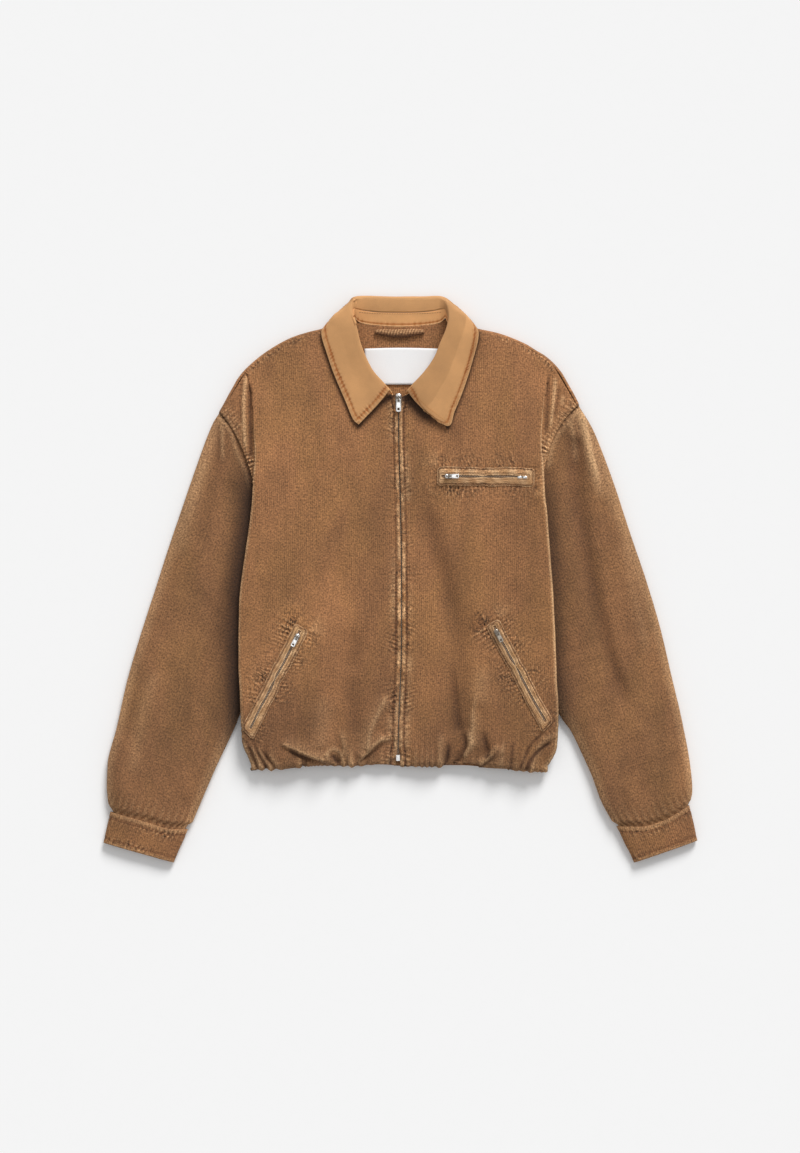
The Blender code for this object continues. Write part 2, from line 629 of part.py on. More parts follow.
def sleeve(side):
    """The outer face of a sleeve, a flattened tube from inside the armhole to inside the cuff."""
    arm = [p for p in side.edge if p.y >= UNDERARM_Y][::-1]
    chord = np.array([tuple(arm[0]), tuple(arm[-1])], float)
    outward = np.array([chord[0][1] - chord[1][1], chord[1][0] - chord[0][0]])
    outward = outward / np.linalg.norm(outward)

    def surface(columns, rows):
        across, up = tube_section(columns, 5, 14)
        nest_top = 1 - ease(0.04, 0.12, rows)
        nest_end = ease(0.95, 0.968, rows)
        outermost = 0.022 * nest_top + 0.05 * nest_end
        innermost = 1 - 0.07 * nest_top - 0.05 * nest_end
        share = outermost + (innermost - outermost) * (1 + across) / 2
        travel = np.clip((rows - 0.04) / 0.93, 0, 1)
        outer_a, outer_y = along(side.sleeve_out, travel)
        inner_a, inner_y = along(side.sleeve_in, travel)
        arm_a, arm_y = along(arm, share)
        cuff_a, cuff_y = along(side.cuff_in, share)
        bulge = 1 - ease(0, 0.45, travel)
        near_cuff = ease(0.75, 1.0, travel)
        line_a = outer_a + share * (inner_a - outer_a)
        line_y = outer_y + share * (inner_y - outer_y)
        line_a += bulge * (arm_a - chord[0][0] - share * (chord[1][0] - chord[0][0]))
        line_y += bulge * (arm_y - chord[0][1] - share * (chord[1][1] - chord[0][1]))
        cuff = np.array([tuple(side.cuff_in[0]), tuple(side.cuff_in[-1])], float)
        line_a += near_cuff * (cuff_a - cuff[0][0] - share * (cuff[1][0] - cuff[0][0]))
        line_y += near_cuff * (cuff_y - cuff[0][1] - share * (cuff[1][1] - cuff[0][1]))
        step = 1.5 * ease(0.0, 0.04, rows) - 3.5 * (1 - ease(0.0, 0.04, rows))
        step = step * (1 - ease(0.1, 0.3, rows))
        line_a += step * outward[0]
        line_y += step * outward[1]
        end_a, end_y = along(side.cuff_end, share)
        into_cuff = 0.09 * ease(0.96, 1.0, rows)
        line_a += into_cuff * (end_a - line_a)
        line_y += into_cuff * (end_y - line_y)
        height = ring_value("height", rows)
        low = ring_value("low", rows)
        puff = SLEEVE_PUFF * (1 - ease(0.45, 0.8, share)) * ease(0.08, 0.3, rows)
        crease = folded(SLEEVE_FOLDS[side.name], side.sign * line_a, line_y)
        lift = (puff + crease) * (1 - ease(0.9, 0.97, rows)) * (1 - nest_top)
        z = low + height * (up + 1) / 2 + lift * np.clip(up, 0, 1)
        return np.stack([side.sign * line_a, line_y, z], axis=-1)

    return surface


def cuff(side):
    """The outer face of a cuff: a flattened band that laps over the sleeve's end."""

    def surface(columns, rows):
        across, up = tube_section(columns, 8, 20)
        share = (1 + across) / 2
        top_a, top_y = along(side.cuff_in, share)
        end_a, end_y = along(side.cuff_end, share)
        a = top_a + rows * (end_a - top_a)
        y = top_y + rows * (end_y - top_y)
        height = CUFF_HEIGHT + rows * (CUFF_END_HEIGHT - CUFF_HEIGHT)
        return np.stack([side.sign * a, y, height * (up + 1) / 2], axis=-1)

    return surface


# ---------------------------------------------------------------- collar and neck


def collar_sections():
    return COLLAR_RIGHT + [COLLAR_BACK] + COLLAR_LEFT[::-1]


def collar(first, last):
    """The outer face of the collar between two shares of the way from the neck seam to its edge."""
    rows_table = np.array(collar_sections(), float).reshape(-1, 4, 3)

    def surface(columns, rows):
        share = first + (last - first) * rows
        place = columns * (len(rows_table) - 1)
        guides = []
        for corner in range(4):
            line = np.repeat(rows_table[:, corner][:, None, :], len(place), axis=1)
            guides.append(through(np.arange(len(rows_table)), line, place))
        neck, roll, turn, edge = guides
        crest = (roll + turn) / 2
        crest[:, 2] = np.maximum(roll[:, 2], turn[:, 2]) * 0.75 + np.minimum(roll[:, 2], turn[:, 2]) * 0.25
        full = [neck, roll, crest, turn, edge]
        return round_through(COLLAR_STOPS, full, share)

    return surface


def neck_facing(columns, rows):
    """The half-moon facing inside the back neck, lying on the back."""
    angle = math.pi * (1 + columns)
    x = FACING_HALF * np.cos(angle)
    low = 338 + FACING_DEPTH * np.sin(angle)
    high = y_at(NECK_BACK, np.clip(np.abs(x), 0, 50)) - 2
    y = low + rows * (high - low)
    return np.stack([x, y, np.full_like(x, WALL + GAP + FACING_WALL)], axis=-1)


def label(columns, rows):
    """The neck label, lying on the facing and a little curled."""
    x = -48 + 99 * columns
    y = 263 + 50 * rows + 1.2 * np.sin(columns * math.pi)
    z = WALL + 2 * GAP + FACING_WALL + LABEL_WALL + 1.2 * (1 - rows) ** 2 * (1 + 0.4 * columns)
    return np.stack([x, y, z], axis=-1)


# ---------------------------------------------------------------- pockets and zip


def on_front(side, x, y, lift):
    return np.stack([x, y, front_height(side, x, y) + lift], axis=-1)


def pocket_strip(pocket, from_middle, to_middle, lift, short=0.0):
    """A strip along a pocket's zip, between two distances from its middle line."""
    start = np.array(pocket.start, float)
    end = np.array(pocket.end, float)
    run = (end - start) / np.linalg.norm(end - start)
    cross = np.array([-run[1], run[0]])

    def surface(columns, rows):
        length = np.linalg.norm(end - start) - 2 * short
        away = from_middle + (to_middle - from_middle) * rows
        x = start[0] + run[0] * (short + columns * length) + cross[0] * away
        y = start[1] + run[1] * (short + columns * length) + cross[1] * away
        return on_front(pocket.side, x, y, lift)

    return surface


def zip_tape(side):
    """One tape of the centre zip, under the edge of its front."""

    def surface(columns, rows):
        y = TAPE_FROM + rows * (TAPE_TO - TAPE_FROM)
        x = out_at(ZIP_LINE, y) + side.sign * (0.3 + TAPE_WIDTH * columns)
        return on_front(side, x, y, -WALL - GAP)

    return surface


def on_zip(pocket, from_start):
    """The point of a pocket's zip at a distance from its start, and the unit direction along it."""
    start = np.array(pocket.start, float)
    run = np.array(pocket.end, float) - start
    run = run / np.linalg.norm(run)
    return start + run * from_start, run


def frame_on_front(side, x, y, run, lift):
    """A frame on the front: its Y axis runs against `run` along the cloth, its Z axis points off it."""
    reach = 4.0
    run = np.array(run, float)
    cross = np.array([run[1], -run[0]])

    def spot(away, across):
        px = x + run[0] * away + cross[0] * across
        py = y + run[1] * away + cross[1] * across
        return Vector((px, py, float(front_height(side, px, py))))

    forward = (spot(-reach, 0) - spot(reach, 0)).normalized()
    sideways = (spot(0, -reach) - spot(0, reach)).normalized()
    normal = sideways.cross(forward).normalized()
    sideways = forward.cross(normal)
    turn = Matrix((sideways, forward, normal)).transposed()
    here = spot(0, 0) + normal * lift
    return Matrix.Translation(here * MM) @ turn.to_4x4()


# ---------------------------------------------------------------- making


def finish(name, colour, roughness, metallic=0.0):
    material = bpy.data.materials.get(name) or bpy.data.materials.new(name)
    material.use_nodes = True
    shader = material.node_tree.nodes["Principled BSDF"]
    shader.inputs["Base Color"].default_value = (*colour, 1)
    shader.inputs["Roughness"].default_value = roughness
    shader.inputs["Metallic"].default_value = metallic
    return material


CORDUROY = ("corduroy", (0.30, 0.14, 0.062), 0.9, 0.0)
TWILL = ("collar_twill", (0.52, 0.27, 0.12), 0.8, 0.0)
LABEL_CLOTH = ("label_cloth", (0.85, 0.85, 0.84), 0.8, 0.0)
TAPE_CLOTH = ("zip_tape_cloth", (0.33, 0.19, 0.1), 0.85, 0.0)
NICKEL = ("nickel", (0.62, 0.6, 0.57), 0.3, 1.0)


def place(collection, name, mesh, look):
    obj = bpy.data.objects.new(name, mesh)
    obj.data.materials.append(finish(*look))
    obj.data.shade_smooth()
    collection.objects.link(obj)
    return obj


def cloth(collection, name, surface, columns, rows, look, wall, turned=False, ring=False):
    """A piece of cloth: a grid laid on its outer face, then given its wall."""
    bm = bmesh.new()
    bmesh.ops.create_grid(bm, x_segments=len(columns) - 1, y_segments=len(rows) - 1, size=0.5)
    bm.verts.ensure_lookup_table()
    flat = np.array([vert.co[:2] for vert in bm.verts]) + 0.5
    u = np.interp(flat[:, 0], np.linspace(0, 1, len(columns)), columns)
    v = np.interp(flat[:, 1], np.linspace(0, 1, len(rows)), rows)
    u = np.array(columns)[np.abs(u[:, None] - np.array(columns)).argmin(axis=1)]
    v = np.array(rows)[np.abs(v[:, None] - np.array(rows)).argmin(axis=1)]
    for vert, spot in zip(bm.verts, surface(u, v)):
        vert.co = Vector(spot) * MM
    if ring:
        bmesh.ops.remove_doubles(bm, verts=bm.verts, dist=0.01 * MM)
    if turned:
        bmesh.ops.reverse_faces(bm, faces=bm.faces)
    mesh = bpy.data.meshes.new(name)
    bm.to_mesh(mesh)
    bm.free()
    obj = place(collection, name, mesh, look)
    solid = obj.modifiers.new("wall", "SOLIDIFY")
    solid.thickness = wall * MM
    solid.offset = -1
    return obj


def bar_mesh(name, outline, axis, half, bevel=0.0):
    """A closed outline of (a, b) pairs drawn across an axis (0 is X, 2 is Z) and made `half` deep each way."""
    bm = bmesh.new()

    def spot(a, b, depth):
        return (depth, a, b) if axis == 0 else (a, b, depth)

    verts = [bm.verts.new(Vector(spot(a, b, -half)) * MM) for a, b in outline]
    face = bm.faces.new(verts)
    moved = bmesh.ops.extrude_face_region(bm, geom=[face])
    top = [item for item in moved["geom"] if isinstance(item, bmesh.types.BMVert)]
    bmesh.ops.translate(bm, verts=top, vec=Vector(spot(0, 0, 2 * half)) * MM)
    bmesh.ops.recalc_face_normals(bm, faces=bm.faces)
    if bevel:
        bmesh.ops.bevel(bm, geom=bm.edges, offset=bevel * MM, segments=1, profile=0.5, affect="EDGES")
    mesh = bpy.data.meshes.new(name)
    bm.to_mesh(mesh)
    bm.free()
    return mesh


def rectangle(half_a, low_b, high_b):
    return [(-half_a, low_b), (half_a, low_b), (half_a, high_b), (-half_a, high_b)]


def union(body, helpers, name, mesh, frame):
    """Adds a helper's shape to a body."""
    helper = bpy.data.objects.new(name, mesh)
    helper.hide_render = True
    helper.display_type = "WIRE"
    helper.matrix_world = frame
    helpers.objects.link(helper)
    join = body.modifiers.new(name, "BOOLEAN")
    join.operation = "UNION"
    join.solver = "EXACT"
    join.object = helper


def slider_and_pull(collection, helpers, name, kind, frame):
    """A slider as shown, and its pull lying along the zip, with the pull's origin on its axis."""
    half = kind.length / 2
    corner = kind.width * 0.2
    plan = [
        (-kind.width / 2, -half + corner), (-kind.width / 2 + corner, -half),
        (kind.width / 2 - corner, -half), (kind.width / 2, -half + corner),
        (kind.width / 2, half - corner), (kind.width / 2 - corner, half),
        (-kind.width / 2 + corner, half), (-kind.width / 2, half - corner),
    ]
    body = place(collection, f"{name}_slider", bar_mesh(name, plan, 2, kind.plate / 2), NICKEL)
    body.matrix_world = frame
    keel = bar_mesh(name, rectangle(kind.keel_width / 2, -half + 0.7, half - 0.7), 2, kind.keel_depth / 2)
    under = Matrix.Translation((0, 0, (-kind.plate / 2 - kind.keel_depth / 2 + 0.2) * MM))
    union(body, helpers, f"{name}_keel", keel, frame @ under)
    inner = BRIDGE_HALF - BRIDGE_LEG
    top = BRIDGE_TUNNEL + BRIDGE_TOP
    arch = [
        (-BRIDGE_HALF, -0.2), (-inner, -0.2), (-inner, BRIDGE_TUNNEL), (inner, BRIDGE_TUNNEL),
        (inner, -0.2), (BRIDGE_HALF, -0.2), (BRIDGE_HALF, top - 0.7), (BRIDGE_HALF - 0.7, top),
        (-BRIDGE_HALF + 0.7, top), (-BRIDGE_HALF, top - 0.7),
    ]
    over = Matrix.Translation((0, 0, kind.plate / 2 * MM))
    union(body, helpers, f"{name}_bridge", bar_mesh(name, arch, 0, BRIDGE_WIDTH / 2), frame @ over)
    axis_y = -BRIDGE_HALF + BAR_FROM_END
    axis_z = kind.plate / 2 + BRIDGE_TUNNEL / 2
    pull = place(collection, f"{name}_pull", pull_mesh(name, kind), NICKEL)
    pull.matrix_world = frame @ Matrix.Translation(Vector((0, axis_y, axis_z)) * MM)


def pull_mesh(name, kind):
    """The pull's tab, from its bar on the origin towards -Y: an outer loop and its hole, the same corners."""
    wide = kind.tab_width / 2
    neck = BRIDGE_WIDTH / 2 + 1.3
    end = -kind.tab_length
    outer = [(-neck, BAR / 2), (neck, BAR / 2), (neck, -PULL_HOLE * 0.6), (wide, -PULL_HOLE - 1.6),
             (wide, end + 1.6), (wide - 1.6, end), (-wide + 1.6, end), (-wide, end + 1.6),
             (-wide, -PULL_HOLE - 1.6), (-neck, -PULL_HOLE * 0.6)]
    slot = BRIDGE_WIDTH / 2 + 0.4
    top = -BAR / 2
    inner = [(-slot, top), (slot, top), (slot, -PULL_HOLE * 0.6), (slot, -PULL_HOLE * 0.8),
             (slot, -PULL_HOLE), (slot * 0.3, -PULL_HOLE), (-slot * 0.3, -PULL_HOLE), (-slot, -PULL_HOLE),
             (-slot, -PULL_HOLE * 0.8), (-slot, -PULL_HOLE * 0.6)]
    bm = bmesh.new()
    rings = []
    for loop in (outer, inner):
        for z in (-BAR / 2, BAR / 2):
            rings.append([bm.verts.new(Vector((x, y, z)) * MM) for x, y in loop])
    low_out, high_out, low_in, high_in = rings
    for first, second in ((low_out, high_out), (high_out, high_in), (high_in, low_in), (low_in, low_out)):
        for i, corner in enumerate(first):
            after = (i + 1) % len(first)
            bm.faces.new((corner, first[after], second[after], second[i]))
    bmesh.ops.recalc_face_normals(bm, faces=bm.faces)
    mesh = bpy.data.meshes.new(name)
    bm.to_mesh(mesh)
    bm.free()
    return mesh


def add_fronts(collection):
    for side in SIDES:
        cloth(collection, f"front_{side.name}", front(side), FRONT_COLUMNS, FRONT_ROWS, CORDUROY, WALL,
              turned=side.sign < 0)


def add_back(collection):
    columns = [-share for share in BACK_HALF[:0:-1]] + BACK_HALF
    cloth(collection, "back", back(), columns, BACK_ROWS, CORDUROY, WALL, turned=True)


def add_sleeves(collection):
    around = list(np.linspace(0, 1, SLEEVE_AROUND + 1))
    for side in SIDES:
        cloth(collection, f"sleeve_{side.name}", sleeve(side), around, SLEEVE_ROWS, CORDUROY, WALL,
              turned=side.sign > 0, ring=True)
        cloth(collection, f"cuff_{side.name}", cuff(side), around, [0, 0.33, 0.66, 1], CORDUROY, WALL,
              turned=side.sign > 0, ring=True)


def add_neck(collection):
    sections = len(collar_sections()) - 1
    columns = list(np.linspace(0, 1, sections + 1))
    cloth(collection, "collar_stand", collar(0, STAND_SHARE - STAND_GAP), columns, [0, 0.5, 1], TWILL,
          COLLAR_WALL)
    cloth(collection, "collar_fall", collar(STAND_SHARE + STAND_GAP, 1), columns,
          [0, 0.05, 0.1, 0.14, 0.19, 0.27, 0.35, 0.44, 0.58, 0.78, 1], TWILL, COLLAR_WALL)
    cloth(collection, "neck_facing", neck_facing, list(np.linspace(0.06, 0.94, 13)), [0, 0.35, 0.7, 1],
          CORDUROY, FACING_WALL)
    cloth(collection, "neck_label", label, list(np.linspace(0, 1, 7)), [0, 0.25, 0.5, 1], LABEL_CLOTH,
          LABEL_WALL)


def add_loop(collection):
    """The hanger loop: a cord that lies in the neck."""
    curve = bpy.data.curves.new("hanger_loop", "CURVE")
    curve.dimensions = "3D"
    curve.bevel_depth = LOOP_RADIUS * MM
    curve.bevel_resolution = 1
    curve.use_fill_caps = True
    line = curve.splines.new("POLY")
    line.points.add(len(LOOP_LINE) - 1)
    z = WALL + 2 * GAP + FACING_WALL + LOOP_RADIUS
    for point, (x, y) in zip(line.points, LOOP_LINE):
        point.co = (*(Vector((x, y, z)) * MM), 1)
    loop = bpy.data.objects.new("hanger_loop", curve)
    curve.materials.append(finish(*CORDUROY))
    collection.objects.link(loop)


def add_pockets(collection, helpers):
    for pocket in POCKETS:
        half = pocket.width / 2
        lift = WELT_LIFT + WELT_WALL
        columns = list(np.linspace(0, 1, 11))
        upper = pocket_strip(pocket, MOUTH / 2, half, lift)
        lower = pocket_strip(pocket, -half, -MOUTH / 2, lift)
        strip = pocket_strip(pocket, -STRIP_HALF, STRIP_HALF, STRIP_LIFT + STRIP_WALL, short=3.0)
        cloth(collection, f"{pocket.name}_welt_upper", upper, columns, [0, 1], CORDUROY, WELT_WALL)
        cloth(collection, f"{pocket.name}_welt_lower", lower, columns, [0, 1], CORDUROY, WELT_WALL)
        cloth(collection, f"{pocket.name}_zip", strip, columns, [0, 0.5, 1], TAPE_CLOTH, STRIP_WALL)
        (x, y), run = on_zip(pocket, pocket.slider_from_start)
        lift = WELT_LIFT + WELT_WALL + 0.4 + POCKET_SLIDER.plate / 2
        frame = frame_on_front(pocket.side, x, y, run, lift)
        slider_and_pull(collection, helpers, pocket.name, POCKET_SLIDER, frame)


def add_zip(collection, helpers):
    for side in SIDES:
        cloth(collection, f"zip_tape_{side.name}", zip_tape(side), [0, 0.5, 1], list(np.linspace(0, 1, 25)),
              TAPE_CLOTH, TAPE_WALL, turned=side.sign < 0)
    x, y = MAIN_SLIDER_AT
    frame = frame_on_front(RIGHT, x, y, (0, -1), 0.4 + MAIN_SLIDER.plate / 2)
    slider_and_pull(collection, helpers, "zip", MAIN_SLIDER, frame)
    x, y = STOP_AT
    wide, long, high = STOP_SIZE
    mesh = bar_mesh("zip_stop", rectangle(wide / 2, -long / 2, long / 2), 2, high / 2, bevel=0.4)
    stop = place(collection, "zip_stop", mesh, NICKEL)
    stop.matrix_world = frame_on_front(RIGHT, x, y, (0, -1), high / 2 - WALL)


def clear_scene():
    for obj in list(bpy.data.objects):
        bpy.data.objects.remove(obj, do_unlink=True)


def main():
    clear_scene()
    collection = bpy.data.collections.new(JACKET)
    bpy.context.scene.collection.children.link(collection)
    helpers = bpy.data.collections.new("helpers")
    helpers.hide_render = True
    bpy.context.scene.collection.children.link(helpers)
    add_back(collection)
    add_fronts(collection)
    add_sleeves(collection)
    add_neck(collection)
    add_loop(collection)
    add_pockets(collection, helpers)
    add_zip(collection, helpers)
    bpy.context.view_layer.update()


main()
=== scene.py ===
"""Corduroy jacket laid flat and zipped to the collar: cloth, stitching and hardware over the fixed frame.

Lengths in the tables are millimetres on the table: X to the wearer's left, Y from the hem to the collar
and Z up. `out` is a distance from the centre line to either side. A piece's surface is the outer face of
its cloth, and the wall grows inwards from it.
"""

import logging
import math
from collections.abc import Callable, Sequence
from dataclasses import dataclass
from enum import Enum
from functools import partial

import bmesh
import bpy
import numpy as np
from mathutils import Matrix, Vector
from mathutils.bvhtree import BVHTree


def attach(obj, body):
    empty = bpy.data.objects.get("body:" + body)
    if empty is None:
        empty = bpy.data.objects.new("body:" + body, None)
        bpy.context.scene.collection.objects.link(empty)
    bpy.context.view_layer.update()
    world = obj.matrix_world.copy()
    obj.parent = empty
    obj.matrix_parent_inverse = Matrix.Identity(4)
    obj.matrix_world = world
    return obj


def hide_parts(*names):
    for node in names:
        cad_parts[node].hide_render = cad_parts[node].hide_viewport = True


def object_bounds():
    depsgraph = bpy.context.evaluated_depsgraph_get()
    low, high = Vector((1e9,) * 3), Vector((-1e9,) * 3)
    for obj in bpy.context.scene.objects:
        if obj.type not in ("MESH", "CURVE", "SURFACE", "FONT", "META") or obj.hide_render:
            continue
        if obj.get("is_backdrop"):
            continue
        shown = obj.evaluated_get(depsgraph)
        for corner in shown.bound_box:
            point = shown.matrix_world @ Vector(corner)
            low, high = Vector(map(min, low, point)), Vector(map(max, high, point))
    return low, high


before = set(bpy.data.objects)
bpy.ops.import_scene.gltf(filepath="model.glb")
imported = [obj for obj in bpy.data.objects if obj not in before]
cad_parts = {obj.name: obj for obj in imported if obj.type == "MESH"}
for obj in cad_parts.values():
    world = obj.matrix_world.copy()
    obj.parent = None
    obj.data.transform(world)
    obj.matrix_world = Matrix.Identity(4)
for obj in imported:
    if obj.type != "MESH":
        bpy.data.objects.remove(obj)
CAD_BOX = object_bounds()

LOG = logging.getLogger("jacket")
MM = 0.001
JACKET = "jacket"

Line = tuple[tuple[float, float], ...]
Field = np.ndarray
Grid = Callable[[Field, Field], Field]
Colour = tuple[float, float, float]

# Cloth and seams, as in the frame
WALL = 1.6
COLLAR_WALL = 1.8
FACING_WALL = 1.2
LABEL_WALL = 0.5
LOOP_WALL = 0.8
WELT_WALL = 1.4
TAPE_WALL = 0.9
STRAIGHT = (0.0, 1.0)  # grain up the table
GAP = 0.4
SEAM_GAP = 0.3
HEM_ROLL = 8.0
HEM_TURN = math.radians(-60)
HEM_Z = 7.4
SHOULDER_ROLL = 7.0
SHOULDER_SEAM = math.radians(60)
TOP_Z = 2 * SHOULDER_ROLL
ZIP_HALF = 0.9
ZIP_ENDS_HALF = 3.2
UNDERARM_Y = -22.0
SEAM_SHOWS_Y = 128.0
LIP_TOP = 208.0
NECK_OUT = 70.0
HEM_OUT = 190.0  # where the side seam meets the hem
FLAT_SHARE = 0.82  # of a front's columns lie on its upper layer

# y, then the front's height at the zip, half way, on the side fold, on the layer under it, at the seam
LEVELS: tuple[tuple[float, ...], ...] = (
    (-262, 13, 17, 20, 5.5, 5.5),
    (-235, 14, 19, 23, 7, 7),
    (-205, 13, 18, 25, 12.5, 12.5),
    (-180, 12, 17, 26, 15.2, 15.2),
    (0, 11, 16, 26, 15.2, 15.2),
    (115, 11, 16, 26, 15.2, 15.2),
    (160, 11, 15.5, 24.5, 15.6, 16),
    (200, 11, 15, 21.5, 15.5, 15.5),
    (250, 12, 14.5, 17.5, 14.5, 14.5),
    (290, 13, 14, 14.6, 13.8, 14),
    (370, 14, 14, 14, 13.8, 14),
)
ZIP_LINE: Line = ((-3, -258), (-2, -200), (2, -85), (2, 10), (0, 120), (-2, 215), (-2, 370))
NECK_FRONT: Line = ((0, 246), (5, 248), (28, 268), (52, 298), (66, 328), (NECK_OUT, 357))
NECK_BACK: Line = ((0, 341), (30, 343), (52, 347), (66, 354), (NECK_OUT, 357))


class Layer(Enum):
    """Columns of LEVELS."""

    ZIP = 1
    MIDDLE = 2
    LIP = 3
    UNDER = 4
    EDGE = 5


# ---- curves


def smooth(xs: Sequence[float], ys: Sequence[float], x: Field) -> Field:
    """Reads the monotone cubic through the points (xs, ys) at x. It never overshoots between two points."""
    xs, ys, x = (np.asarray(values, float) for values in (xs, ys, x))
    step = np.diff(xs)
    slope = np.diff(ys) / step
    tangent = np.zeros(len(xs))
    tangent[0] = slope[0]
    tangent[-1] = slope[-1]
    product = slope[:-1] * slope[1:]
    total = np.where(product > 0, slope[:-1] + slope[1:], 1.0)
    tangent[1:-1] = np.where(product > 0, 2 * product / total, 0.0)
    i = np.clip(np.searchsorted(xs, x) - 1, 0, len(step) - 1)
    t = np.clip((x - xs[i]) / step[i], 0, 1)
    return hermite(ys[i], ys[i + 1] - ys[i], tangent[i] * step[i], tangent[i + 1] * step[i], t)


def out_at(line: Line, y: Field) -> Field:
    """How far out a line is at height y."""
    return smooth([p[1] for p in line], [p[0] for p in line], y)


def y_at(line: Line, out: Field) -> Field:
    """How far up a line is at distance out."""
    return smooth([p[0] for p in line], [p[1] for p in line], out)


def level(layer: Layer, y: Field) -> Field:
    """Height of one of the front's layers over the table at y."""
    return smooth([row[0] for row in LEVELS], [row[layer.value] for row in LEVELS], y)


def ease(low: float, high: float, x: Field) -> Field:
    """0 below low, 1 above high, smooth between. With low over high it falls instead."""
    t = np.clip((np.asarray(x, float) - low) / (high - low), 0, 1)
    return t * t * (3 - 2 * t)


def bell(away: Field, width: float, power: float = 2) -> Field:
    """1 at 0, dying out over a width to either side."""
    return np.exp(-((away / width) ** power))


def spread(columns: Field, rows: Field) -> tuple[Field, Field]:
    """Each place's column and row."""
    return np.meshgrid(columns, rows, indexing="ij")


def stretches(stops: Sequence[float], counts: Sequence[int]) -> Field:
    """Shares from the first stop to the last one, with a count of places for each stretch between them."""
    parts = [np.linspace(first, last, count) for first, last, count in zip(stops, stops[1:], counts)]
    return np.concatenate([parts[0], *(part[1:] for part in parts[1:])])


def along(line: Line, share: Field) -> Field:
    """The two coordinates of the point a share of the way along a line, by length."""
    pairs = np.array(line, float)
    run = np.concatenate([[0], np.cumsum(np.linalg.norm(np.diff(pairs, axis=0), axis=1))])
    run /= run[-1]
    return np.array([smooth(run, values, share) for values in pairs.T])


def through(stops: Sequence[float], guides: Field, u: Field, keep_length: bool = False) -> Field:
    """Reads a smooth curve through guide points.

    Args:
        stops: Where on u each guide lies.
        guides: (stops, n, 3) guide points.
        u: n places.
        keep_length: True where each stretch keeps its own length, so that a short one stays round.

    Returns:
        (n, 3) points.
    """
    stops = np.asarray(stops, float)
    guides = np.asarray(guides, float)
    step = np.diff(stops)
    chord = np.diff(guides, axis=0)
    span = np.linalg.norm(chord, axis=2, keepdims=True) if keep_length else step[:, None, None]
    slope = chord / span
    tangent = np.empty_like(guides)
    tangent[0] = slope[0]
    tangent[-1] = slope[-1]
    tangent[1:-1] = slope[:-1] * span[1:] + slope[1:] * span[:-1]
    inner = tangent[1:-1]
    inner /= np.linalg.norm(inner, axis=2, keepdims=True) if keep_length else span[:-1] + span[1:]
    i = np.clip(np.searchsorted(stops, u) - 1, 0, len(step) - 1)
    t = ((u - stops[i]) / step[i])[:, None]
    pick = np.arange(guides.shape[1])
    reach = span[i, pick if keep_length else 0]
    return hermite(guides[i, pick], chord[i, pick], tangent[i, pick] * reach, tangent[i + 1, pick] * reach, t)


def hermite(start: Field, chord: Field, leave: Field, arrive: Field, t: Field) -> Field:
    """The cubic from start over chord, with its tangents at both ends, at t."""
    return start + t * (leave + t * (3 * chord - 2 * leave - arrive + t * (leave + arrive - 2 * chord)))


def near_line(line: Line, x: Field, y: Field) -> tuple[Field, Field, float]:
    """Finds each point's nearest place on a line.

    Args:
        line: The line's corners.
        x: Places across the table.
        y: Places up the table.

    Returns:
        The run along the line, the distance from it (positive to the left of its course), its length.
    """
    best = np.full(np.shape(x), np.inf)
    run = np.zeros(np.shape(x))
    away = np.zeros(np.shape(x))
    start = 0.0
    for (x0, y0), (x1, y1) in zip(line[:-1], line[1:]):
        dx = x1 - x0
        dy = y1 - y0
        length = math.hypot(dx, dy)
        share = np.clip(((x - x0) * dx + (y - y0) * dy) / length**2, 0, 1)
        px = x - x0 - share * dx
        py = y - y0 - share * dy
        distance = np.hypot(px, py)
        closer = distance < best
        best = np.where(closer, distance, best)
        run = np.where(closer, start + share * length, run)
        away = np.where(closer, np.where(dx * py - dy * px > 0, distance, -distance), away)
        start += length
    return run, away, start


def drawn(line: Line, count: int = 24) -> Line:
    """The same line with more corners, on a smooth curve."""
    xs, ys = along(line, np.linspace(0, 1, count))
    return tuple(zip(xs.tolist(), ys.tolist()))


def drift(seed: int, run: Field, step: float) -> Field:
    """A smooth random curve between -1 and 1 that changes over each `step` of run."""
    knots = np.random.default_rng(seed).uniform(-1, 1, 4096)
    place = np.asarray(run, float) / step + 1000
    i = np.floor(place).astype(int) % 4095
    t = place - np.floor(place)
    t = t * t * (3 - 2 * t)
    return knots[i] * (1 - t) + knots[i + 1] * t


def waves(seed: int, x: Field, y: Field, length: float) -> Field:
    """A soft random field about -1 to 1, with hills about `length` across."""
    draw = np.random.default_rng(seed)
    total = np.zeros(np.shape(x))
    for _ in range(7):
        angle = draw.uniform(0, math.tau)
        pace = math.tau / (length * draw.uniform(1.3, 3.0))
        total += np.cos(pace * (x * math.cos(angle) + y * math.sin(angle)) + draw.uniform(0, 6.28))
    return total / 3.0


# ---- relief of the cloth


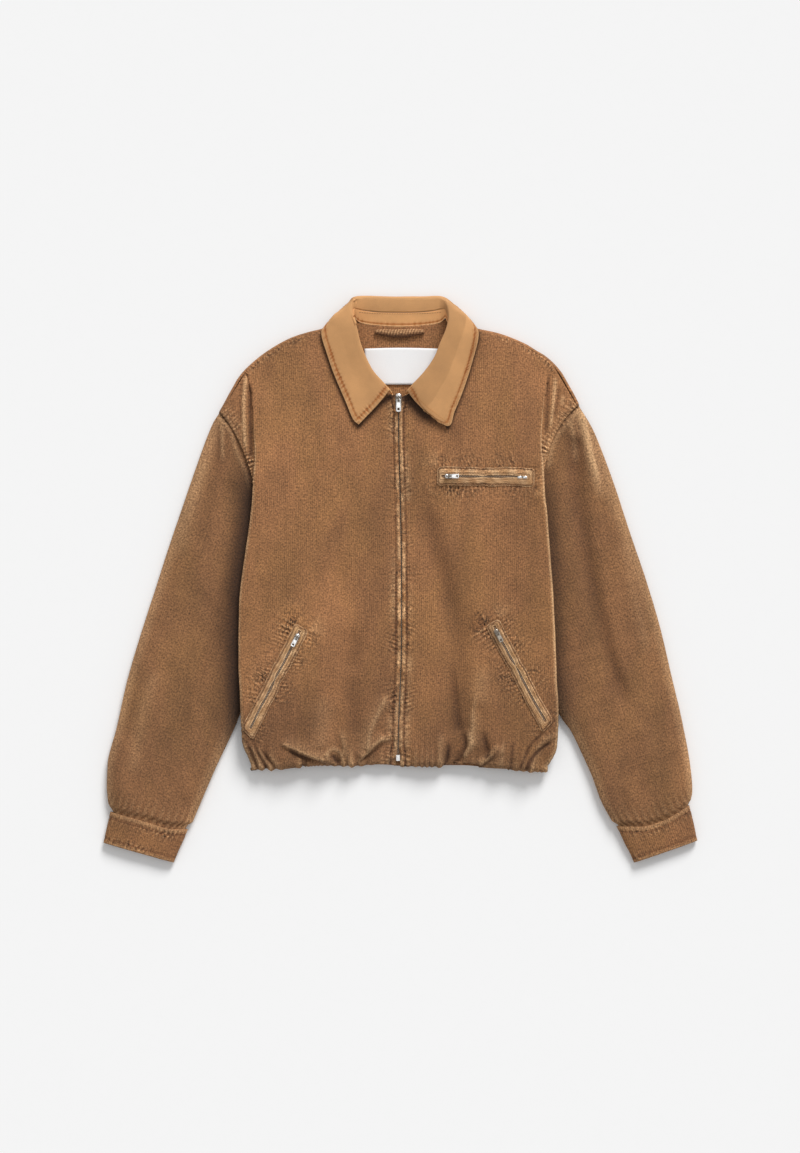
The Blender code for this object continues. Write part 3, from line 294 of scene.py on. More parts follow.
@dataclass
class Patch:
    """A piece's outer face as it is being shaped, one value for each column and row."""

    spots: Field  # (columns, rows, 3) places
    across: tuple[Field, Field]  # distance from the first column along each row, and from the last column
    along: tuple[Field, Field]  # distance from the first row along each column, and from the last row
    lift: Field  # how far the relief lifts the cloth off its plain form
    worn: Field  # 1 where the pile is painted pale: abrasion, and painted highlight on crests and edges
    deep: Field  # 1 where painted shade darkens a groove, a crease or a shadowed place
    tone: Field  # lighter over 0, darker below it: random colour shifts and real colour, with painted light and shade
    crinkle: Field  # 1 where stitches crumple the cloth

    @classmethod
    def over(cls, spots: Field) -> "Patch":
        """A patch without relief over these places."""
        shape = spots.shape[:2]
        steps = np.linalg.norm(np.diff(spots, axis=0), axis=2)
        climbs = np.linalg.norm(np.diff(spots, axis=1), axis=2)
        across = np.concatenate([np.zeros((1, shape[1])), np.cumsum(steps, axis=0)])
        up = np.concatenate([np.zeros((shape[0], 1)), np.cumsum(climbs, axis=1)], axis=1)
        blank = [np.zeros(shape) for _ in range(5)]
        return cls(spots, (across, across[-1:] - across), (up, up[:, -1:] - up), *blank)

    @property
    def x(self) -> Field:
        """Places across the table."""
        return self.spots[..., 0]

    @property
    def y(self) -> Field:
        """Places up the table."""
        return self.spots[..., 1]

    def normals(self) -> Field:
        """Unit normals of the plain form."""
        across = np.gradient(self.spots, axis=0)
        up = np.gradient(self.spots, axis=1)
        normal = np.cross(across, up)
        return normal / np.maximum(np.linalg.norm(normal, axis=2, keepdims=True), 1e-9)


@dataclass(frozen=True)
class Crease:
    """A soft ridge (height over 0) or trough along a line. Its crest is painted pale, for abrasion and
    painted highlight, and its trough painted dark, for painted shade.
    """

    line: Line
    width: float  # half its width
    height: float
    right_width: float = 0.0  # half its width to the right of its course, where it drops off steeper
    fade: tuple[float, float] = (12.0, 12.0)  # length over which each end dies out
    painted_light_and_wear: float = 0.35  # how strongly the crest is painted pale (abrasion and painted highlight) and the trough painted dark (painted shade)

    def press(self, patch: Patch, where: Field) -> None:
        """Adds the crease to a patch.

        Args:
            patch: The cloth.
            where: 0 to 1, how much of it each place takes.
        """
        run, away, total = near_line(drawn(self.line, 14), patch.x, patch.y)
        width = np.where(away > 0, self.width, self.right_width or self.width)
        ends = ease(0, self.fade[0], run) if self.fade[0] else 1.0
        if self.fade[1]:
            ends = ends * ease(0, self.fade[1], total - run)
        shape = bell(away, width) * ends * where
        patch.lift += self.height * shape
        # ridges paint their crests pale and troughs paint their bottoms dark: painted light and shade
        target = patch.worn if self.height > 0 else patch.deep
        target += self.painted_light_and_wear * shape * min(1.0, abs(self.height) / 2)


@dataclass(frozen=True)
class Stitching:
    """A row of stitches that sinks into the cloth and gathers it into small puckers. Their crests are painted
    pale, for abrasion and painted highlight, and their hollows and the row's groove painted dark, for painted
    shade.
    """

    sink: float = 0.5  # how far the row sinks into the cloth
    height: float = 0.5  # height of the puckers
    pitch: float = 7.5  # their spacing
    reach: tuple[float, float] = (14.0, 8.0)  # how far they run, to its left and to its right
    seed: int = 1  # where its unevenness starts
    pale: float = 0.55  # how pale the crests are painted: abrasion and painted highlight
    dark: float = 0.6  # how dark its groove is painted: painted shade
    even: float = 0.62  # how strongly it gathers on the whole

    def gather(self, patch: Patch, run: Field, away: Field, where: Field | float) -> None:
        """Adds the row to a patch.

        Args:
            patch: The cloth.
            run: Each place's run along the row.
            away: Its distance from the row, positive to the left of its course.
            where: 0 to 1, how much of it each place takes.
        """
        reach = np.where(away > 0, self.reach[0], self.reach[1])
        fall = np.exp(-((np.abs(away) / reach) ** 2) * 1.6) * where
        fall = fall * (0.8 + 0.35 * drift(self.seed + 3, run, 1.7 * self.pitch))
        skew = 0.45 * away * drift(self.seed + 7, run, 26)
        phase = math.tau * (run + skew) / self.pitch + 3.4 * drift(self.seed, run, 2.1 * self.pitch)
        strength = np.clip(self.even + 0.6 * drift(self.seed + 1, run, 4.3 * self.pitch), 0.2, 1.25)
        wave = np.cos(phase) + 0.3 * np.cos(2 * phase + 1.0)
        patch.lift += self.height * strength * wave * fall
        row = bell(away, 1.3) * where
        patch.lift -= self.sink * row
        # painted highlight on the crests, painted shade in the hollows and in the row
        patch.worn += self.pale * fall * np.clip(wave, 0, 1) * strength
        patch.deep += fall * np.clip(-wave, 0, 1) * strength * 0.75 + self.dark * row
        patch.crinkle = np.maximum(patch.crinkle, fall * strength)


@dataclass(frozen=True)
class Seam:
    """Stitching that follows a line on the table."""

    line: Line
    stitching: Stitching
    offset: float = 0.0

    def press(self, patch: Patch, where: Field) -> None:
        """Adds the seam's stitching to a patch."""
        run, away, total = near_line(drawn(self.line), patch.x, patch.y)
        inside = ease(-1, 2, run) * ease(-1, 2, total - run)
        beside = np.where((run <= 0) | (run >= total), 0.0, inside)
        self.stitching.gather(patch, run, away - self.offset, where * beside)


# ---- shader nodes


def operator(operation: str, swapped: bool = False) -> Callable[["Socket", "Socket | float"], "Socket"]:
    """A method of Socket that adds a Math node, on the two values in turn or swapped."""

    def method(self: "Socket", other: "Socket | float") -> "Socket":
        """The Math node's output."""
        return self.math(operation, *((other, self) if swapped else (self, other)))

    return method


class Socket:
    """An output of a shader node. Python's operators on it add Math nodes."""

    def __init__(self, tree: bpy.types.NodeTree, output: bpy.types.NodeSocket) -> None:
        """Wraps a node's output."""
        self.tree = tree
        self.output = output

    def feed(self, place: bpy.types.NodeSocket) -> None:
        """Links this output to an input."""
        self.tree.links.new(self.output, place)

    def math(self, operation: str, *values: "Socket | float") -> "Socket":
        """Adds a Math node on these values and returns its output."""
        node = self.tree.nodes.new("ShaderNodeMath")
        node.operation = operation
        for place, value in zip(node.inputs, values):
            feed(place, value)
        return Socket(self.tree, node.outputs[0])

    __add__ = operator("ADD")
    __radd__ = operator("ADD", True)
    __sub__ = operator("SUBTRACT")
    __rsub__ = operator("SUBTRACT", True)
    __mul__ = operator("MULTIPLY")
    __rmul__ = operator("MULTIPLY", True)

    def cos(self) -> "Socket":
        """The cosine, in radians."""
        return self.math("COSINE", self)

    def between(self, low: float, high: float) -> "Socket":
        """The value held between two limits."""
        return self.math("MINIMUM", self.math("MAXIMUM", self, low), high)


def feed(place: bpy.types.NodeSocket, value: "Socket | Colour | float | str") -> None:
    """Gives an input a value, or links it to a socket. A colour's alpha is 1."""
    if isinstance(value, Socket):
        value.feed(place)
    else:
        place.default_value = (*value, 1.0) if place.type == "RGBA" else value


class Finishing:
    """A material being made: its node tree, with short ways to add nodes."""

    def __init__(self, name: str) -> None:
        """Starts a material with its shader."""
        self.material = bpy.data.materials.new(name)
        self.material.use_nodes = True
        self.tree = self.material.node_tree
        self.shader = self.tree.nodes["Principled BSDF"]

    def node(self, kind: str, settings: dict[str, object] | None = None,
             values: dict[str | int, object] | None = None, output: str | int = 0) -> Socket:
        """Adds a node.

        Args:
            kind: Its type, without the word ShaderNode.
            settings: Its own settings, which are set first.
            values: Its sockets' values, or the sockets that feed them.
            output: The output that is wanted.

        Returns:
            That output.
        """
        node = self.tree.nodes.new(f"ShaderNode{kind}")
        for key, value in (settings or {}).items():
            setattr(node, key, value)
        for key, value in (values or {}).items():
            feed(node.inputs[key], value)
        return Socket(self.tree, node.outputs[output])

    def attribute(self, name: str) -> Socket:
        """The value of a mesh attribute."""
        return self.node("Attribute", {"attribute_name": name}, output="Fac")

    def cut(self) -> tuple[Socket, Socket, Socket]:
        """The place on the cut piece in metres: the vector, across the wales, and along them."""
        place = self.node("UVMap", {"uv_map": "cut"})
        return place, *(self.node("SeparateXYZ", values={0: place}, output=axis) for axis in (0, 1))

    def where(self) -> Socket:
        """The place on the jacket in metres."""
        return self.node("TexCoord", output="Object")

    def noise(self, place: Socket, scale: float | Colour, detail: float = 2.0) -> Socket:
        """Noise from 0 to 1. A scale of three numbers stretches it."""
        if isinstance(scale, tuple):
            place, scale = self.node("Mapping", values={"Vector": place, "Scale": scale}), 1.0
        values = {"Vector": place, "Scale": scale, "Detail": detail, "Roughness": 0.6}
        return self.node("TexNoise", values=values)

    def mix(self, share: Socket | float, first: "Socket | Colour", second: "Socket | Colour",
            blend: str = "MIX") -> Socket:
        """Mixes a share of the second colour into the first one, by the Mix node's way of blending."""
        settings = {"data_type": "RGBA", "blend_type": blend}
        return self.node("Mix", settings, {0: share, 6: first, 7: second}, 2)

    def brighter(self, colour: "Socket | Colour", factor: Socket) -> Socket:
        """A colour times a number."""
        return self.mix(1.0, colour, factor, "MULTIPLY")

    def bumped(self, height: Socket, distance: float) -> None:
        """Gives the shader small relief that is `distance` metres high."""
        self.node("Bump", values={"Height": height, "Distance": distance}).feed(self.shader.inputs["Normal"])

    def dress(self, colour: Socket, roughness: Socket | float, **others: object) -> bpy.types.Material:
        """Sets the shader's colour, its roughness and other sockets by name, with _ for a space."""
        for key, value in {"Base Color": colour, "Roughness": roughness, **others}.items():
            feed(self.shader.inputs[key.replace("_", " ")], value)
        return self.material


def srgb(red: float, green: float, blue: float) -> Colour:
    """A colour from 0-255 display values."""
    shares = [value / 255 for value in (red, green, blue)]
    return tuple(s / 12.92 if s <= 0.04045 else ((s + 0.055) / 1.055) ** 2.4 for s in shares)


@dataclass(frozen=True)
class Finish:
    """What every finish has: a name and the frame's material slot."""

    name: str
    slot: str

    def material(self) -> bpy.types.Material:
        """The material, made once."""
        return bpy.data.materials.get(self.name) or self.make()

    def make(self) -> bpy.types.Material:
        """Builds the material."""
        raise NotImplementedError


@dataclass(frozen=True)
class Corduroy(Finish):
    """Washed cotton corduroy: round wales of pile with darker channels between them."""

    crest: Colour = srgb(162, 113, 73)
    channel: Colour = srgb(128, 85, 52)  # colour between the wales
    pale_wear_and_highlight: Colour = srgb(206, 163, 118)  # pale colour of abraded pile and of painted highlights
    painted_shade_colour: Colour = srgb(86, 53, 29)  # colour of painted shade in grooves, creases and shadows
    olive: Colour = (0.9, 0.97, 0.8)  # cast of the greener patches
    wale: float = 0.00275  # width of a wale and its channel, in metres
    rib: float = 0.62  # how clearly the wales show

    def make(self) -> bpy.types.Material:
        """Builds the material."""
        shop = Finishing(self.name)
        cut, across, _ = shop.cut()
        where = shop.where()
        wander = shop.noise(cut, 24.0, 1.0) - 0.5
        phase = (across + wander * 0.0006) * (math.tau / self.wale)
        wave = (phase.cos() * 0.5 + 0.5) * self.rib
        pile = shop.noise(cut, 1300.0, 2.0)
        tufts = shop.noise(cut, (440.0, 400.0, 1.0), 1.5)
        rubs = shop.noise(cut, (190.0, 34.0, 1.0), 2.0)
        show = shop.noise(where, 14.0, 1.0)
        crest = (0.5 + (wave - 0.5 * self.rib) * (show * 1.1) + (rubs - 0.5) * 0.6).between(0.0, 1.0)
        colour = shop.mix(crest, self.channel, self.crest)
        hue = shop.noise(where, (16.0, 7.0, 9.0), 3.0)
        colour = shop.mix((hue - 0.42).between(0.0, 0.2) * 2.2, colour, self.olive, "MULTIPLY")
        cloud = shop.noise(where, (30.0, 17.0, 20.0), 4.0)
        grain = shop.noise(where, 240.0, 2.0)
        # pale marks mix abrasion with painted highlights; dark marks are painted shade and painted shadows
        worn = shop.attribute("worn")
        deep = shop.attribute("deep")
        pale = (worn * (0.45 + crest * 0.6) * (0.35 + tufts * 1.3)).between(0.0, 0.85)
        colour = shop.mix(pale, colour, self.pale_wear_and_highlight)
        dark = (deep * (0.55 + grain * 0.9)).between(0.0, 0.92)
        colour = shop.mix(dark, colour, self.painted_shade_colour)
        blots = shop.noise(where, (330.0, 230.0, 300.0), 1.0)
        # crumpled cloth beside stitching gets blotches painted lighter and darker, standing for the light and
        # shade of its crumples, and a bump
        crumple = shop.attribute("crinkle") * (blots - 0.5)
        light = (0.56 + cloud * 0.88) * (0.84 + grain * 0.32) * (tufts * 2.2 - 0.1) * (crumple * 3.6 + 1.0)
        # the piece's own factor: random colour shifts and real colour, with painted light and shade
        colour = shop.brighter(colour, light * (0.85 + pile * 0.3) * (shop.attribute("tone") + 1.0))
        shop.bumped(wave * 0.5 + tufts * 0.7 + grain * 0.5 + crumple * 3.0, 0.0006)
        sheen = srgb(236, 196, 148)
        return shop.dress(colour, 0.92, Sheen_Weight=0.12, Sheen_Roughness=0.45, Sheen_Tint=sheen)


@dataclass(frozen=True)
class Twill(Finish):
    """Plain cotton twill, washed. Its high spots are painted paler, for abrasion and painted highlight, and
    its hollows darker, for painted shade.
    """

    colour: Colour = srgb(214, 159, 104)
    # colour of painted shade, then the pale colour of abrasion and painted highlights
    painted_shade_colour: Colour = srgb(158, 88, 36)
    pale_wear_and_highlight: Colour = srgb(236, 190, 136)

    def make(self) -> bpy.types.Material:
        """Builds the material."""
        shop = Finishing(self.name)
        cut, across, up = shop.cut()
        where = shop.where()
        line = ((across + up) * (math.tau / 0.0011)).cos() * 0.5 + 0.5
        cloud = shop.noise(where, 40.0, 4.0)
        fleck = shop.noise(cut, 900.0, 2.0)
        # pale marks for abrasion and painted highlight, dark marks for painted shade, then the factor with
        # painted light and shade
        pale = (shop.attribute("worn") * (0.5 + fleck)).between(0.0, 0.8)
        colour = shop.mix(pale, self.colour, self.pale_wear_and_highlight)
        dark = (shop.attribute("deep") * (0.6 + fleck * 0.7)).between(0.0, 0.9)
        colour = shop.mix(dark, colour, self.painted_shade_colour)
        light = (0.84 + cloud * 0.32) * (0.94 + line * 0.08) * (0.9 + fleck * 0.2)
        colour = shop.brighter(colour, light * (shop.attribute("tone") + 1.0))
        shop.bumped(line + fleck * 0.8, 0.00018)
        sheen = srgb(240, 204, 150)
        return shop.dress(colour, 0.85, Sheen_Weight=0.06, Sheen_Roughness=0.5, Sheen_Tint=sheen)


@dataclass(frozen=True)
class Woven(Finish):
    """A fine flat weave: the neck label, a zip's tape, or a rib of one colour."""

    colour: Colour = (0.8, 0.8, 0.8)
    thread: float = 0.0006
    contrast: float = 0.1

    def make(self) -> bpy.types.Material:
        """Builds the material."""
        shop = Finishing(self.name)
        cut, across, up = shop.cut()
        warp = (across * (math.tau / self.thread)).cos()
        weft = (up * (math.tau / self.thread)).cos()
        weave = warp * weft * 0.5 + 0.5
        fleck = shop.noise(cut, 700.0, 2.0)
        light = (1.0 - self.contrast) + weave * self.contrast + (fleck - 0.5) * self.contrast
        colour = shop.brighter(self.colour, light)
        shop.bumped(weave, 0.0001)
        return shop.dress(colour, 0.85, Sheen_Weight=0.08)


@dataclass(frozen=True)
class Thread(Finish):
    """Sewing thread: plies that turn round it, a little glossy."""

    colour: Colour = srgb(150, 98, 58)

    def make(self) -> bpy.types.Material:
        """Builds the material."""
        shop = Finishing(self.name)
        where = shop.where()
        fleck = shop.noise(where, 900.0, 1.0)
        colour = shop.brighter(self.colour, 0.75 + fleck * 0.5)
        shop.bumped(fleck, 0.0001)
        return shop.dress(colour, 0.6)


@dataclass(frozen=True)
class Metal(Finish):
    """Plated zinc with fine scratches and duller hollows."""

    colour: Colour = (0.86, 0.85, 0.83)
    rough: float = 0.24
    shine: float = 0.75

    def make(self) -> bpy.types.Material:
        """Builds the material."""
        shop = Finishing(self.name)
        where = shop.where()
        scratch = shop.noise(where, (900.0, 140.0, 900.0), 2.0)
        cloud = shop.noise(where, 400.0, 2.0)
        colour = shop.brighter(self.colour, 0.9 + cloud * 0.2)
        roughness = (self.rough + (scratch - 0.5) * 0.2 + (cloud - 0.5) * 0.2).between(0.12, 0.7)
        shop.bumped(scratch, 0.00004)
        return shop.dress(colour, roughness, Metallic=self.shine)


CORDUROY = Corduroy("corduroy_washed", "corduroy")
SLEEVE_CORDUROY = Corduroy("corduroy_sleeve", "corduroy", crest=srgb(147, 103, 67),
                           channel=srgb(115, 77, 47), rib=0.3)
FRAME_CORDUROY = Corduroy("corduroy_frame", "corduroy", crest=srgb(190, 145, 101),
                          channel=srgb(150, 106, 68), pale_wear_and_highlight=srgb(222, 184, 140), wale=0.0024, rib=1.0)
TWILL = Twill("collar_twill_washed", "collar_twill")
LABEL_CLOTH = Woven("label_cloth_white", "label_cloth", colour=(0.9, 0.9, 0.9), thread=0.0008, contrast=0.06)
TAPE_CLOTH = Woven("zip_tape_weave", "zip_tape_cloth", colour=srgb(150, 112, 80), thread=0.0011, contrast=0.3)
THREAD = Thread("sewing_thread", "corduroy")
COLLAR_THREAD = Thread("collar_thread", "collar_twill", srgb(196, 132, 66))
NICKEL = Metal("nickel_plate", "nickel")
# a darker nickel, used for the left slanted pocket's runner
DARK_NICKEL = Metal("nickel_aged", "nickel", colour=(0.4, 0.35, 0.29), rough=0.32)
# a darker copy of the nickel for the sliders' bodies: painted shade of their sides below the bright caps
SHADED_NICKEL = Metal("nickel_worn", "nickel", colour=(0.2, 0.17, 0.14), rough=0.4)
TEETH = Metal("nickel_teeth", "nickel", colour=(0.3, 0.26, 0.21), rough=0.4)


# ---- cloth pieces


class Held(Enum):
    """How a sheet of cloth is held."""

    LAID = "laid"
    FOLDED = "folded"


def linked(name: str, data: bpy.types.ID) -> bpy.types.Object:
    """An object of these data in the scene."""
    obj = bpy.data.objects.new(name, data)
    bpy.context.scene.collection.objects.link(obj)
    return obj


def put(name: str, bm: bmesh.types.BMesh, finish: Finish, nodes: Sequence[str], body: str = JACKET,
        ) -> bpy.types.Object:
    """Makes a finished object of a mesh, rides it on its body and hides the frame's nodes that it stands for.

    Args:
        name: The piece's name.
        bm: Its mesh, which is freed.
        finish: Its finish.
        nodes: The frame's nodes that it stands for.
        body: The body that it rides on.

    Returns:
        The object.
    """
    mesh = bpy.data.meshes.new(name)
    bm.to_mesh(mesh)
    bm.free()
    mesh.shade_smooth()
    mesh.materials.append(finish.material())
    obj = linked(name, mesh)
    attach(obj, body)
    if nodes:
        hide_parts(*nodes)
    LOG.info("%s: %d faces", name, len(mesh.polygons))
    return obj


@dataclass
class Cloth:
    """A cut piece of cloth: its outer face, its relief and its wall."""

    node: str  # the frame's node that it stands for, and the start of its name
    grid: Grid  # the outer face as a function of columns and rows
    columns: Field | int  # shares at which they lie, or how many lie evenly from 0 to 1
    rows: Field | int
    wall: float
    finish: Finish
    flat: tuple[float, float, float] | None = None  # width, length and area of its cut, in m and m2
    relief: Callable[[Patch], None] | None = None
    held: Held = Held.LAID
    rests_on: tuple[str, ...] = ()
    turned: bool = False  # true where the columns and rows run the other way round
    ring: bool = False  # true where the last column meets the first one
    middle: float = 0.0  # the column from which the wales are counted
    grain: tuple[float, float] | None = None  # the wales' course on the table, or along the columns
    cross_grain: bool = False  # true where the wales run across the columns instead
    name: str = ""  # its name, where it isn't the node's
    nodes: tuple[str, ...] = ()  # the nodes that it stands for, where there are two

    def __post_init__(self) -> None:
        """Fills in its name, its node and its evenly spread columns and rows."""
        self.name = self.name or f"{self.node}_cloth"
        self.nodes = self.nodes or (self.node,)
        self.columns, self.rows = (np.linspace(0, 1, places) if isinstance(places, int) else places
                                   for places in (self.columns, self.rows))

    def patch(self) -> tuple[Patch, Field]:
        """The shaped patch and its places after the relief."""
        patch = Patch.over(self.grid(self.columns, self.rows))
        if self.relief:
            self.relief(patch)
        normals = patch.normals() * (-1 if self.turned else 1)
        placed = patch.spots + normals * patch.lift[..., None]
        placed[..., 2] = np.maximum(placed[..., 2], 0.0)
        if self.ring:
            placed[-1] = placed[0]
        return patch, placed

    def cut(self, patch: Patch) -> Field:
        """Each place on the cut piece in metres: across the wales, and along them."""
        across, up = patch.across[0], patch.along[0]
        if self.grain:
            gx, gy = self.grain
            step = np.diff(patch.spots, axis=0)
            across = np.zeros(patch.x.shape)
            across[1:] = np.cumsum(np.hypot(step[..., 0] * gy - step[..., 1] * gx, step[..., 2]), axis=0)
            up = patch.x * gx + patch.y * gy
        first = int(np.abs(self.columns - self.middle).argmin())
        cut = np.stack([across - across[first], up], axis=-1) * MM
        return cut[..., ::-1] if self.cross_grain else cut

    def make(self) -> None:
        """Builds the piece and rides it on the jacket."""
        patch, placed = self.patch()
        bm = bmesh.new()
        wide = len(self.columns) - 1
        high = len(self.rows) - 1
        bmesh.ops.create_grid(bm, x_segments=wide, y_segments=high, size=0.5)
        flat = np.array([vert.co[:2] for vert in bm.verts]) + 0.5
        i = np.rint(flat[:, 0] * wide).astype(int)
        j = np.rint(flat[:, 1] * high).astype(int)
        marks = [(bm.verts.layers.float.new(key), getattr(patch, key)[i, j])
                 for key in ("worn", "deep", "tone", "crinkle")]
        uv = bm.loops.layers.uv.new("cut")
        spots = placed[i, j] * MM
        for at, vert in enumerate(bm.verts):
            vert.co = spots[at]
            vert.index = at
            for layer, values in marks:
                vert[layer] = values[at]
        places = self.cut(patch)[i, j].tolist()
        for face in bm.faces:
            for loop in face.loops:
                loop[uv].uv = places[loop.vert.index]
        if self.ring:
            bmesh.ops.remove_doubles(bm, verts=bm.verts, dist=0.01 * MM)
        if self.turned:
            bmesh.ops.reverse_faces(bm, faces=bm.faces)
        self.tree = BVHTree.FromBMesh(bm)
        obj = put(self.name, bm, self.finish, self.nodes)
        solid = obj.modifiers.new("wall", "SOLIDIFY")
        solid.thickness = self.wall * MM
        solid.offset = -1
        if self.flat:
            width, length, area = self.flat
            rests = {"rests_on": list(self.rests_on)} if self.rests_on else {}

    def traced(self, line: Line, offset: float = 0.0) -> Field:
        """Traces a line of the table on the cloth's upper face.

        Args:
            line: The line.
            offset: How far to its left to trace.

        Returns:
            Places and normals in metres, six numbers a point, without those that miss the cloth.
        """
        length = sum(math.dist(a, b) for a, b in zip(line[:-1], line[1:]))
        xs, ys = along(line, np.linspace(0, 1, max(4, int(length / TRACE_STEP))))
        course = np.stack([np.gradient(xs), np.gradient(ys)])
        course /= np.linalg.norm(course, axis=0)
        found = []
        for x, y in zip(xs - offset * course[1], ys + offset * course[0]):
            place, normal, _, _ = self.tree.ray_cast(Vector((x * MM, y * MM, 0.2)), Vector((0, 0, -1)))
            if place is not None:
                found.append((*place, *(normal if normal.z > 0 else -normal)))
        return np.array(found)


TRACE_STEP = 1.0
STITCH_PITCH = 3.4
STITCH_LENGTH = 2.7
STITCH_THICK = 0.75
BATCH = 60


@dataclass
class Piece:
    """A piece made of many small equal shapes, such as stitches or zip teeth."""

    name: str
    finish: Finish
    body: str = JACKET
    nodes: tuple[str, ...] = ()

    def __post_init__(self) -> None:
        """Starts its mesh."""
        self.bm = bmesh.new()

    def repeat(self, shape: Callable, places: Sequence[Matrix], **sizes: float) -> None:
        """Adds a shape at each place, a batch at a time, which is quicker than growing one large mesh.

        Args:
            shape: The operator that makes it.
            places: Where it goes, with its size.
            sizes: The operator's own sizes.
        """
        for first in range(0, len(places), BATCH):
            part = bmesh.new()
            for place in places[first:first + BATCH]:
                shape(part, matrix=place, **sizes)
            self.take(part)

    def take(self, part: bmesh.types.BMesh) -> None:
        """Adds a small mesh."""
        mesh = bpy.data.meshes.new("part")
        part.to_mesh(mesh)
        part.free()
        self.bm.from_mesh(mesh)
        bpy.data.meshes.remove(mesh)

    def sew(self, traced: Field) -> None:
        """Lays stitches at equal steps along a traced line of places and normals."""
        run = np.concatenate([[0], np.cumsum(np.linalg.norm(np.diff(traced[:, :3], axis=0), axis=1))]) / MM
        at = np.arange(STITCH_PITCH / 2, run[-1], STITCH_PITCH)
        spots, before, after = (np.stack([np.interp(at + by, run, traced[:, k]) for k in range(6)], axis=1)
                                for by in (0.0, -0.6, 0.6))
        places = []
        for spot, course in zip(spots, after[:, :3] - before[:, :3]):
            ahead = Vector(course).normalized()
            beside = Vector(spot[3:]).cross(ahead).normalized()
            sizes = (beside * STITCH_THICK, ahead.cross(beside) * STITCH_THICK, ahead * STITCH_LENGTH)
            places.append(Matrix.Translation(Vector(spot[:3])) @ (Matrix(sizes).transposed() * MM).to_4x4())
        self.repeat(bmesh.ops.create_uvsphere, places, u_segments=6, v_segments=4, radius=0.5)

    def finished(self, bevel: float = 0.0) -> None:
        """Makes the object, with its edges beveled where a width is given in millimetres."""
        if bevel:
            sharp = [edge for edge in self.bm.edges if edge.calc_face_angle(0.0) > 0.5]
            bmesh.ops.bevel(self.bm, geom=sharp, offset=bevel * MM, affect="EDGES", segments=1,
                            profile=0.5, material=-1)
        put(self.name, self.bm, self.finish, self.nodes, self.body)


# ---- the body's form


